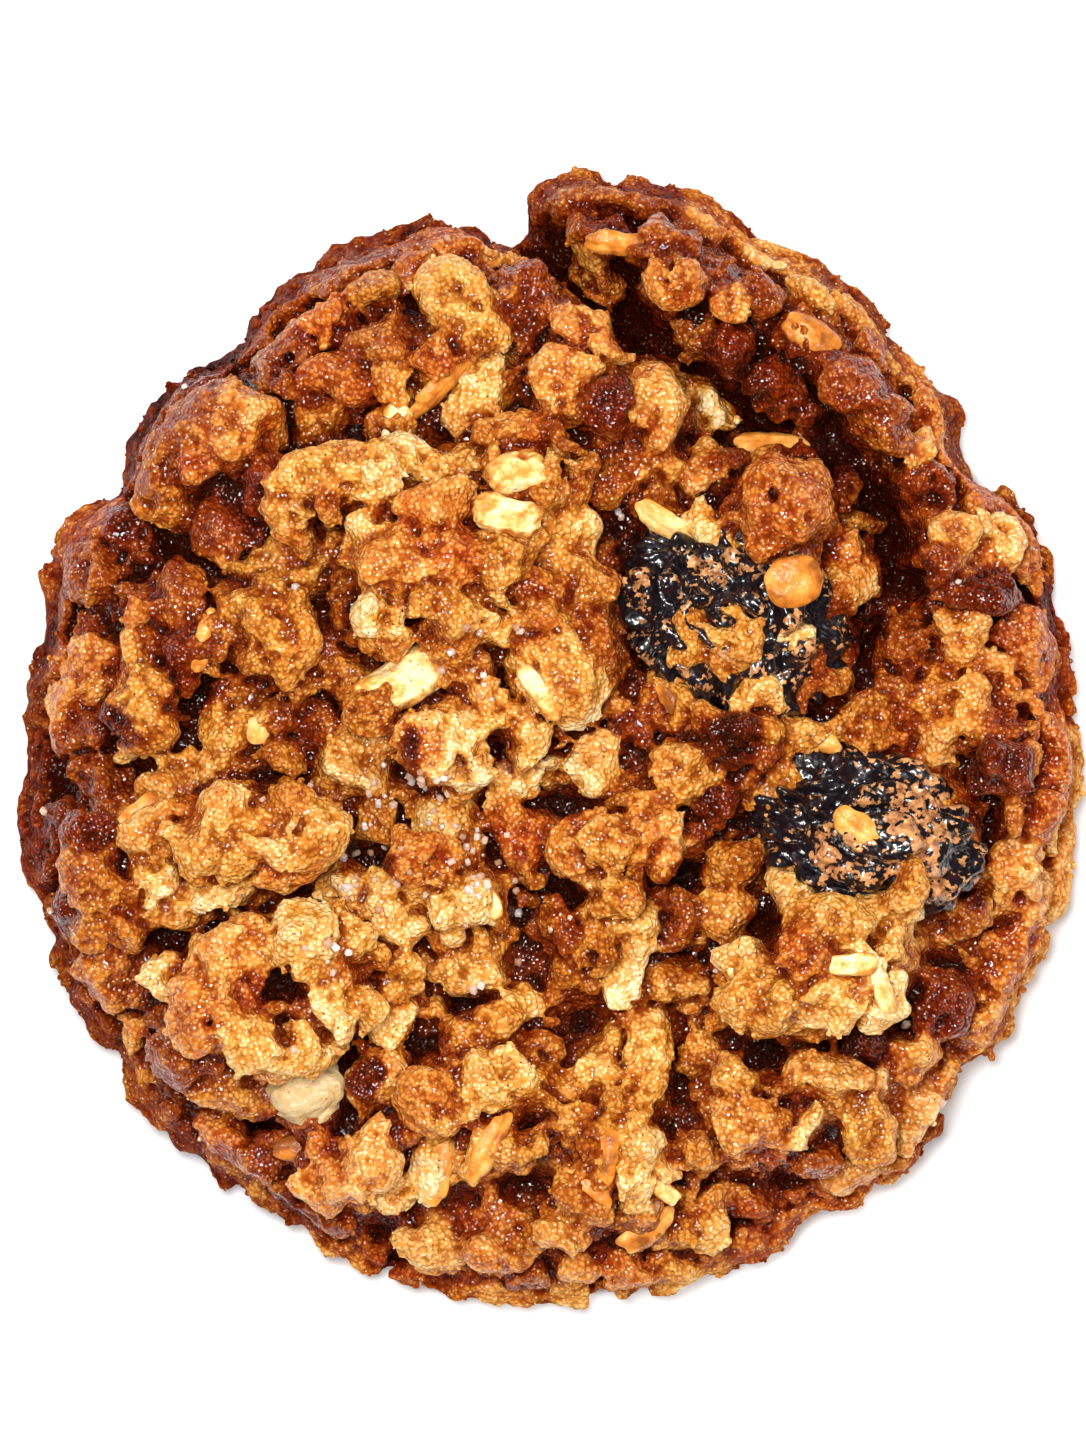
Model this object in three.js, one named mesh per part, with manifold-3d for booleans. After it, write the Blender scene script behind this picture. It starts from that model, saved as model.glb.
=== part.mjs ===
// An apple crumble cookie: a round, chunky oat cookie with a heaped crumble top, split by a notch into
// two lobes, with two large raisins and four pieces of apple baked into it.
// Millimetres, +Z up. The origin is the middle of the flat underside; +Y points to the notched edge.
import * as THREE from "three";
import { mergeVertices } from "three/addons/utils/BufferGeometryUtils.js";
import Module from "manifold-3d";

// ---- driving dimensions -----------------------------------------------------------------------
const WIDTH = 106; // along X
const DEPTH = 114; // along Y
const EDGE_Z = 4.2; // height of the widest line round the side
const RIM_RISE = 7.0; // from there up over the rounded rim
const DOME_RISE = 3.8; // from the rim's top to the middle
const FOOT_SHARE = 0.955; // size of the flat underside against the outline
const RINGS = 30; // rings of the top's mesh
const CLEARANCE = 0.4; // gap between the dough and what is baked into it
const DEGREE = Math.PI / 180;

// ---- crumble heaps: place, half sizes, turn in degrees and how far each stands above the dough ---
const HEAPS = [
  // the big heap left of the middle
  { x: -11, y: 18, along: 13, across: 11, turn: 30, rise: 8.5 },
  { x: -21, y: 26, along: 9, across: 5, turn: 15, rise: 7.2 },
  { x: -2, y: 27, along: 7, across: 6, turn: -20, rise: 7.5 },
  { x: 1, y: 10, along: 8, across: 7, turn: -35, rise: 7.2 },
  { x: -9, y: 1, along: 9, across: 6, turn: 10, rise: 7.0 },
  { x: -29, y: 12, along: 7, across: 6, turn: 60, rise: 5.4 },
  // the two lumps low on the left, and the shoulder outside them
  { x: -31, y: -9, along: 12, across: 6, turn: 10, rise: 8.2 },
  { x: -28, y: -25, along: 13, across: 9, turn: 20, rise: 9.0 },
  { x: -44, y: -15, along: 10, across: 6, turn: 105, rise: 5.2 },
  // the crumbs along the lower edge
  { x: -21, y: -41, along: 7, across: 6, turn: 25, rise: 5.4 },
  { x: -7, y: -36, along: 10, across: 8, turn: -20, rise: 5.2 },
  { x: 7, y: -42, along: 10, across: 7, turn: 80, rise: 5.6 },
  { x: 24, y: -37, along: 10, across: 6, turn: 10, rise: 5.0 },
  { x: 35, y: -36, along: 7, across: 6, turn: 50, rise: 4.0 },
  // the middle
  { x: -10, y: -14, along: 8, across: 5, turn: -10, rise: 5.2 },
  { x: 7, y: -12, along: 11, across: 5, turn: 70, rise: 4.4 },
  { x: 16, y: 0, along: 7, across: 5, turn: 30, rise: 3.6 },
  // the tall lump below the lower raisin, and the round one above the upper raisin
  { x: 27, y: -23, along: 11, across: 8, turn: 10, rise: 9.2 },
  { x: 23, y: 24, along: 7, across: 6, turn: 60, rise: 7.6 },
  // the left edge and the two lobes
  { x: -33, y: 30, along: 9, across: 7, turn: 35, rise: 4.6 },
  { x: -40, y: 8, along: 10, across: 5, turn: 85, rise: 3.2 },
  { x: -12, y: 42, along: 12, across: 6, turn: 15, rise: 3.6 },
  { x: 5, y: 36, along: 10, across: 6, turn: -35, rise: 5.0 },
  { x: 15, y: 48, along: 10, across: 5, turn: -15, rise: 4.4 },
  { x: 31, y: 38, along: 12, across: 6, turn: -45, rise: 4.2 },
  { x: 42, y: 20, along: 10, across: 6, turn: -70, rise: 3.8 },
  { x: 46, y: -4, along: 12, across: 5, turn: 85, rise: 3.8 },
];

// The cleft that runs in from the notch between the lobes and round behind the raisins.
const CLEFT = [
  { x: -4, y: 54, depth: 9, half: 2.2 },
  { x: 6, y: 44, depth: 8, half: 2.2 },
  { x: 15, y: 34, depth: 7, half: 2.4 },
  { x: 28, y: 27, depth: 5.5, half: 3.4 },
  { x: 34, y: 14, depth: 4.5, half: 3.2 },
  { x: 34, y: 4, depth: 1, half: 3 },
];

// ---- what is baked into the dough -----------------------------------------------------------------
// Place of the middle, its lift above the crumble round it, half sizes, turn and tip in degrees.
const RAISINS = [
  { name: "raisin_1", x: 18.6, y: 11.4, lift: -0.5, half: [12, 8.0, 5.4], turn: -45, tip: 6, seed: 3 },
  { name: "raisin_2", x: 32.4, y: -9.4, lift: 0.6, half: [12.4, 8.2, 6.0], turn: -4, tip: -4, seed: 8 },
];
const APPLES = [
  { name: "apple_1", x: -3.0, y: 28.6, lift: 0.7, half: [2.9, 2.4, 2.3], turn: 12, tip: 8, seed: 11 },
  { name: "apple_2", x: -4.4, y: 22.6, lift: 0.5, half: [3.8, 2.0, 1.9], turn: -14, tip: -6, seed: 12 },
  { name: "apple_3", x: -14.6, y: 6.0, lift: 0.2, half: [4.9, 2.2, 1.9], turn: 34, tip: 10, seed: 13 },
  { name: "apple_4", x: -23.4, y: -35.4, lift: -0.4, half: [4.6, 3.9, 3.2], turn: 20, tip: -12, seed: 14 },
];

// ---- helpers -----------------------------------------------------------------------------------
// A repeatable number from 0 to 1 for each whole number.
function chance(n) {
  const s = Math.sin(n * 127.1 + 311.7) * 43758.5453;
  return s - Math.floor(s);
}

function smooth(t) {
  const u = Math.min(1, Math.max(0, t));
  return u * u * (3 - 2 * u);
}

// Bell curve of an angle in degrees round a middle angle.
function bell(angle, middle, spread) {
  const off = ((angle - middle + 540) % 360) - 180;
  return Math.exp(-((off / spread) ** 2));
}

// ---- the dough's outline and height --------------------------------------------------------------
// Radius of the widest line at an angle in degrees, for a cookie 1 unit in mean radius, before it is
// fitted to WIDTH and DEPTH.
function outline(angle) {
  const a = angle * DEGREE;
  const rounds = 1 - 0.02 * Math.cos(2 * a);
  const rightLobe = 0.045 * bell(angle, 80, 13);
  const notch = -0.075 * bell(angle, 95, 4.5);
  const leftLobe = -0.03 * bell(angle, 138, 28);
  const scallops =
    0.008 * Math.sin(7 * a + 0.6) + 0.009 * Math.sin(13 * a + 2.2 + Math.sin(3 * a)) +
    0.007 * Math.sin(22 * a + 4.1 + 2 * Math.sin(2 * a));
  return rounds + rightLobe + notch + leftLobe + scallops;
}

// The scale and shift that make the outline WIDTH by DEPTH with its middle at the origin.
function fitOutline() {
  const box = new THREE.Box2();
  for (let angle = 0; angle < 360; angle += 360 / (6 * RINGS)) {
    const r = outline(angle);
    box.expandByPoint(new THREE.Vector2(Math.cos(angle * DEGREE), Math.sin(angle * DEGREE)).multiplyScalar(r));
  }
  const scale = new THREE.Vector2(WIDTH, DEPTH).divide(box.getSize(new THREE.Vector2()));
  return { scale, middle: box.getCenter(new THREE.Vector2()) };
}
const FIT = fitOutline();

function place(angle, share) {
  const r = outline(angle) * share;
  return new THREE.Vector2(
    (Math.cos(angle * DEGREE) * r - FIT.middle.x * share) * FIT.scale.x,
    (Math.sin(angle * DEGREE) * r - FIT.middle.y * share) * FIT.scale.y,
  );
}

// Height that a heap adds: flat-topped with steep sides.
function heapRise(heap, x, y) {
  const c = Math.cos(heap.turn * DEGREE);
  const s = Math.sin(heap.turn * DEGREE);
  const u = ((x - heap.x) * c + (y - heap.y) * s) / heap.along;
  const v = (-(x - heap.x) * s + (y - heap.y) * c) / heap.across;
  const d = Math.hypot(u, v);
  return heap.rise * smooth((1.25 - d) / 0.75);
}

// Depth that the cleft takes away.
function cleftDepth(x, y) {
  let deepest = 0;
  for (let i = 0; i + 1 < CLEFT.length; i++) {
    const a = CLEFT[i];
    const b = CLEFT[i + 1];
    const length2 = (b.x - a.x) ** 2 + (b.y - a.y) ** 2;
    const t = Math.min(1, Math.max(0, ((x - a.x) * (b.x - a.x) + (y - a.y) * (b.y - a.y)) / length2));
    const off = Math.hypot(x - a.x - t * (b.x - a.x), y - a.y - t * (b.y - a.y));
    const half = a.half + t * (b.half - a.half);
    deepest = Math.max(deepest, (a.depth + t * (b.depth - a.depth)) * Math.exp(-((off / half) ** 2)));
  }
  return deepest;
}

// Small crumbs, laid out on a sunflower spiral and shaken a little.
const CRUMBS = [];
const CRUMB_COUNT = 330;
const GOLDEN_ANGLE = 137.508;
for (let i = 0; i < CRUMB_COUNT; i++) {
  const at = place((i * GOLDEN_ANGLE) % 360, Math.sqrt((i + 0.5) / CRUMB_COUNT) * 0.985);
  CRUMBS.push({
    x: at.x + 2.4 * (chance(i) - 0.5),
    y: at.y + 2.4 * (chance(i + 900) - 0.5),
    radius: 2.4 + 2.4 * chance(i + 1800),
    rise: 0.9 + 1.7 * chance(i + 2700),
  });
}

function crumbRise(x, y) {
  let most = 0;
  for (const crumb of CRUMBS) {
    const d2 = ((x - crumb.x) ** 2 + (y - crumb.y) ** 2) / crumb.radius ** 2;
    if (d2 < 1) most = Math.max(most, crumb.rise * Math.sqrt(1 - d2));
  }
  return most;
}

// Height of the top at a place, where share is how far out it lies, from 0 to 1.
function topHeight(x, y, share) {
  const rim = Math.sqrt(1 - share ** 7);
  const heaps = HEAPS.reduce((most, heap) => Math.max(most, heapRise(heap, x, y)), 0);
  const raised = DOME_RISE * (1 - share ** 2) + heaps + crumbRise(x, y) - cleftDepth(x, y);
  return EDGE_Z + RIM_RISE * rim + raised * smooth((1 - share) / 0.12);
}

// ---- the dough's solid ---------------------------------------------------------------------------
// A ring of points: 6 * ring of them on the top, at a share of the outline's radius.
function topRing(ring) {
  const points = [];
  const count = Math.max(1, 6 * ring);
  const share = ring / RINGS;
  for (let i = 0; i < count; i++) {
    const at = place((360 * i) / count, share);
    points.push(new THREE.Vector3(at.x, at.y, topHeight(at.x, at.y, share)));
  }
  return points;
}

function sideRing(share, z) {
  const points = [];
  for (let i = 0; i < 6 * RINGS; i++) {
    const at = place((60 * i) / RINGS, share);
    points.push(new THREE.Vector3(at.x, at.y, z));
  }
  return points;
}

// A closed mesh through rings that run from one pole to the other. Each ring's points start at angle 0
// and are evenly spaced in angle; the first and last rings may be single points.
function meshFromRings(rings) {
  const positions = [];
  const starts = [];
  for (const ring of rings) {
    starts.push(positions.length / 3);
    for (const p of ring) positions.push(p.x, p.y, p.z);
  }
  const index = [];
  for (let k = 0; k + 1 < rings.length; k++) {
    const [inner, outer] = [rings[k].length, rings[k + 1].length];
    let [i, j] = [0, 0];
    while (i < inner || j < outer) {
      const a = starts[k] + (i % inner);
      const b = starts[k + 1] + (j % outer);
      const stepOuter = inner === 1 || (outer > 1 && (j + 1) / outer <= (i + 1) / inner);
      if (stepOuter && j < outer) {
        index.push(a, b, starts[k + 1] + ((j + 1) % outer));
        j++;
      } else {
        index.push(a, b, starts[k] + ((i + 1) % inner));
        i++;
      }
      if (inner === 1 && j === outer) break;
      if (outer === 1 && i === inner) break;
    }
  }
  const geometry = new THREE.BufferGeometry();
  geometry.setAttribute("position", new THREE.Float32BufferAttribute(positions, 3));
  geometry.setIndex(index);
  return geometry;
}

function doughGeometry() {
  const rings = [];
  for (let ring = 0; ring <= RINGS; ring++) rings.push(topRing(ring));
  rings.push(sideRing(0.5 + FOOT_SHARE / 2, EDGE_Z * 0.32));
  rings.push(sideRing(FOOT_SHARE, 0));
  rings.push([new THREE.Vector3(0, 0, 0)]);
  return meshFromRings(rings);
}

// ---- raisins and apple ---------------------------------------------------------------------------
const BALL_DETAIL = { raisin: 4, apple: 2 };
const OPEN_SPAN = 5; // how far apart the heights are taken that set where a baked-in piece lies

// A ball with its shared vertices merged, each of its unit directions moved by shape(direction).
function shapedBall(detail, shape) {
  const ball = new THREE.IcosahedronGeometry(1, detail);
  ball.deleteAttribute("normal");
  ball.deleteAttribute("uv");
  const merged = mergeVertices(ball, 1e-4);
  const position = merged.getAttribute("position");
  for (let i = 0; i < position.count; i++) {
    const p = shape(new THREE.Vector3().fromBufferAttribute(position, i).normalize());
    position.setXYZ(i, p.x, p.y, p.z);
  }
  return merged;
}

// A dried raisin: a flattened oval with deep folds along it.
function raisinGeometry({ half, seed }, grow = 0) {
  return shapedBall(BALL_DETAIL.raisin, (n) => {
    const round = Math.atan2(n.z, n.y);
    const folds =
      0.055 * Math.sin(5 * round + 2.4 * n.x + seed) + 0.04 * Math.sin(9 * round - 3.1 * n.x + 2 * seed);
    const dents = 0.04 * Math.sin(4.3 * n.x + 1.7 * n.y + seed);
    const size = 1 + (folds + dents) * Math.sqrt(Math.max(0, 1 - n.x ** 2));
    return new THREE.Vector3(half[0] + grow, half[1] + grow, half[2] + grow).multiply(n).multiplyScalar(size);
  });
}

// A diced piece of apple: a box with rounded edges, its faces not quite true.
function appleGeometry({ half, seed }, grow = 0) {
  const power = 5;
  return shapedBall(BALL_DETAIL.apple, (n) => {
    const reach = (Math.abs(n.x) ** power + Math.abs(n.y) ** power + Math.abs(n.z) ** power) ** (-1 / power);
    const uneven = 1 + 0.05 * Math.sin(3 * n.x + seed) + 0.05 * Math.sin(3.4 * n.y + 2 * seed);
    return new THREE.Vector3(half[0] + grow, half[1] + grow, half[2] + grow)
      .multiply(n)
      .multiplyScalar(reach * uneven);
  });
}

// The mean height of the top round a place.
function heightRound(x, y) {
  let sum = 0;
  for (const [dx, dy] of [[0, 0], [OPEN_SPAN, 0], [-OPEN_SPAN, 0], [0, OPEN_SPAN], [0, -OPEN_SPAN]]) {
    const share = Math.min(1, Math.hypot((x + dx) / (WIDTH / 2), (y + dy) / (DEPTH / 2)));
    sum += topHeight(x + dx, y + dy, share);
  }
  return sum / 5;
}

function placed(geometry, { x, y, lift, turn, tip }) {
  geometry.rotateY(tip * DEGREE);
  geometry.rotateZ(turn * DEGREE);
  geometry.translate(x, y, heightRound(x, y) + lift);
  return geometry;
}

// ---- joining and cutting -------------------------------------------------------------------------
const wasm = await Module();
wasm.setup();

function solidOf(geometry) {
  return new wasm.Manifold(
    new wasm.Mesh({
      numProp: 3,
      vertProperties: new Float32Array(geometry.getAttribute("position").array),
      triVerts: new Uint32Array(geometry.getIndex().array),
    }),
  );
}

function geometryOf(solid) {
  const mesh = solid.getMesh();
  const geometry = new THREE.BufferGeometry();
  geometry.setAttribute("position", new THREE.BufferAttribute(new Float32Array(mesh.vertProperties), 3));
  geometry.setIndex(new THREE.BufferAttribute(new Uint32Array(mesh.triVerts), 1));
  geometry.computeVertexNormals();
  return geometry;
}

function pieceMesh(name, geometry, material) {
  geometry.computeVertexNormals();
  const mesh = new THREE.Mesh(geometry, material);
  mesh.name = name;
  return mesh;
}

// ---- materials -----------------------------------------------------------------------------------
const crumb = new THREE.MeshStandardMaterial({ color: 0xc98443, roughness: 0.5, metalness: 0 });
const raisinSkin = new THREE.MeshStandardMaterial({ color: 0x1e1214, roughness: 0.3, metalness: 0 });
const appleFlesh = new THREE.MeshStandardMaterial({ color: 0xf0cf87, roughness: 0.45, metalness: 0 });

// ---- the cookie ----------------------------------------------------------------------------------
const cookie = new THREE.Group();
let dough = solidOf(doughGeometry());
for (const raisin of RAISINS) {
  dough = dough.subtract(solidOf(placed(raisinGeometry(raisin, CLEARANCE), raisin)));
  cookie.add(pieceMesh(raisin.name, placed(raisinGeometry(raisin), raisin), raisinSkin));
}
for (const apple of APPLES) {
  dough = dough.subtract(solidOf(placed(appleGeometry(apple, CLEARANCE), apple)));
  cookie.add(pieceMesh(apple.name, placed(appleGeometry(apple), apple), appleFlesh));
}
// A cut can leave loose flakes, so the dough is the largest piece.
const [largest] = dough.decompose().sort((a, b) => b.volume() - a.volume());
cookie.add(pieceMesh("cookie", geometryOf(largest), crumb));

export default cookie;
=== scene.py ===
"""The looks of the apple crumble cookie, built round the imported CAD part.

The crumble is worked out as one field of distances on a grid of cubes: a core taken from the CAD
cookie, with every crumb joined to it and every gap cut out of it. The field's surface is then cut
into a few pieces that overlap a little. The raisins, apple, oat flakes, sugar and loose grains are
meshes of their own. Lengths are in millimetres until a mesh is made, and in metres from there on.
Turns are in degrees.
"""
import math

import bpy
import numpy as np
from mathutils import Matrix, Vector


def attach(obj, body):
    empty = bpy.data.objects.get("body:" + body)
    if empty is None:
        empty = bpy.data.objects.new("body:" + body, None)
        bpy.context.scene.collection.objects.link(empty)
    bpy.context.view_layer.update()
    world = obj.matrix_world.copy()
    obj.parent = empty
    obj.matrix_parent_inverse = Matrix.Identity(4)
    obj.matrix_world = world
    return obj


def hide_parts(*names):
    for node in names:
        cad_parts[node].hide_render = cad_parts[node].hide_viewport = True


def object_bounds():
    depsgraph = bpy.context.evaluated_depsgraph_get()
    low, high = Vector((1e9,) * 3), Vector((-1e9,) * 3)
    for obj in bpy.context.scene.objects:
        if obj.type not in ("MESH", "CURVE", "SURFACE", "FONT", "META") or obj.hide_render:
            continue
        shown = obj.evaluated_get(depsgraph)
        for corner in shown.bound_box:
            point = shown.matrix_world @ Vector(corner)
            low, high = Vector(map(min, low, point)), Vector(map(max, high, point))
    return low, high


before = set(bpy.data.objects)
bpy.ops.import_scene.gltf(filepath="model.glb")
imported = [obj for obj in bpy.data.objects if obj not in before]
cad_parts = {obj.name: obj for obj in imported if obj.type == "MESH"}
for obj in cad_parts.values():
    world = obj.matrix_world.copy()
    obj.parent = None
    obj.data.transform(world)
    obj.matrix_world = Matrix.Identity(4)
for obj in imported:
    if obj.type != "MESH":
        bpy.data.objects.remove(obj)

import openvdb
from mathutils import Euler, Vector

CAD_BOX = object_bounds()
MM = 0.001  # metres in a millimetre

# ---- the field ----
STEP = 0.36  # size of the field's cubes
ROOM = 3.0  # free space kept round the CAD box
BAND = 3.5  # distances are worked out this far from the CAD surface
CORE_DEPTH = 1.0  # how far the core lies below the CAD surface, under the crumbs
FILL_DEPTH = 3.0  # how far below the top the pockets of the raisins and apple are filled
FILL_SHARE = 0.84  # share of the cookie's width inside which they are filled
FILL_EVEN = 1.6  # how far the top is levelled out for that
PROUD = {3.0: 1.1, 6.5: 0.3, 13.0: 2.6}  # height: how far crumbs may stand out of the CAD surface there
PROUD_EDGE = 0.9  # how softly what stands out further is cut off
JOIN = 0.6  # how softly small crumbs run into each other
CRISP = 0.5  # the same for the crumbs that show as themselves
FUSED = {  # and for the areas where those have melted together more
    "big heap": 0.9, "two lumps low on the left": 0.8, "middle": 0.6, "lower right": 0.7,
}
STAMP_REACH = 1.9  # how far round a crumb the field is changed
HOLE_REACH = 1.5  # the same for a hole
GAP_EDGE = 0.8  # how softly a gap's edge is rounded
PAINT_REACH = 0.36  # how sharply a crumb's look gives way to its neighbour's
PAINT_RANGE = (-0.9, 3.0)  # past these distances from its surface it gets no stronger and no weaker
BENDS = [
    # what bends the crumbs: cells of the noise, length of its waves, how far, a seed for each axis
    (60, 6.0, 0.45, (101, 102, 103)),
    (48, 2.0, 0.12, (104, 105, 106)),
]
KNOBS = [
    # the knobs and the grain on the surface: cells of the bubbles, their size, seed, height
    (66, 2.2, 201, 0.36),
    (56, 1.15, 202, 0.44),
]
KNOB_LEVEL = 0.65  # the height in a bubble that leaves the surface where it was
ROUGH = (52, 1.5, 203, 0.05)  # the finest relief: cells of the noise, length of its waves, seed, height
UNDER_GAP = 0.03  # how far the underside stays above the CAD's
UNDER_WAVES = (60, 9.0, 204, 0.12)  # the same numbers for the waves in it
UNDER_PITS = (64, 1.9, 205, 0.7)  # and for the bubbles between which it has pits
PIT_LEVEL = 0.62  # the height in a bubble at which a pit starts
PIT_LAYER = 4  # the layer of those bubbles that is used
SEEDS = {
    "crumbs": 7, "scatter": 41, "grains": 5, "sugar": 17, "apples": 320, "apple_bits": 340, "flakes": 400,
}

SHIFTS = {  # how much each look is moved at random
    "named crumb": (0.03, 0.06, 0.05), "lump on one": (0.07, 0.14, 0.12), "small crumb": (0.1, 0.16, 0.12),
}

# ---- looks: how dark it is baked, how red, how wet with syrup, each from 0 to 1; the first later also takes painted shade in hollows, holes and clefts ----
LOOK_NAMES = ("toast_and_shade", "blush", "wet")
LOOKS = {
    "cream": (0.10, 0.05, 0.25),
    "straw": (0.21, 0.10, 0.30),
    "gold": (0.31, 0.20, 0.35),
    "tan": (0.42, 0.25, 0.30),
    "peach": (0.25, 0.50, 0.40),
    "amber": (0.34, 0.60, 0.50),
    "rust": (0.44, 0.85, 0.45),
    "umber": (0.51, 0.30, 0.40),
    "copper": (0.51, 0.70, 0.45),
    "brown": (0.60, 0.50, 0.60),
    "dark": (0.76, 0.75, 0.90),
    "burnt": (0.95, 0.60, 0.60),
}

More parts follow.
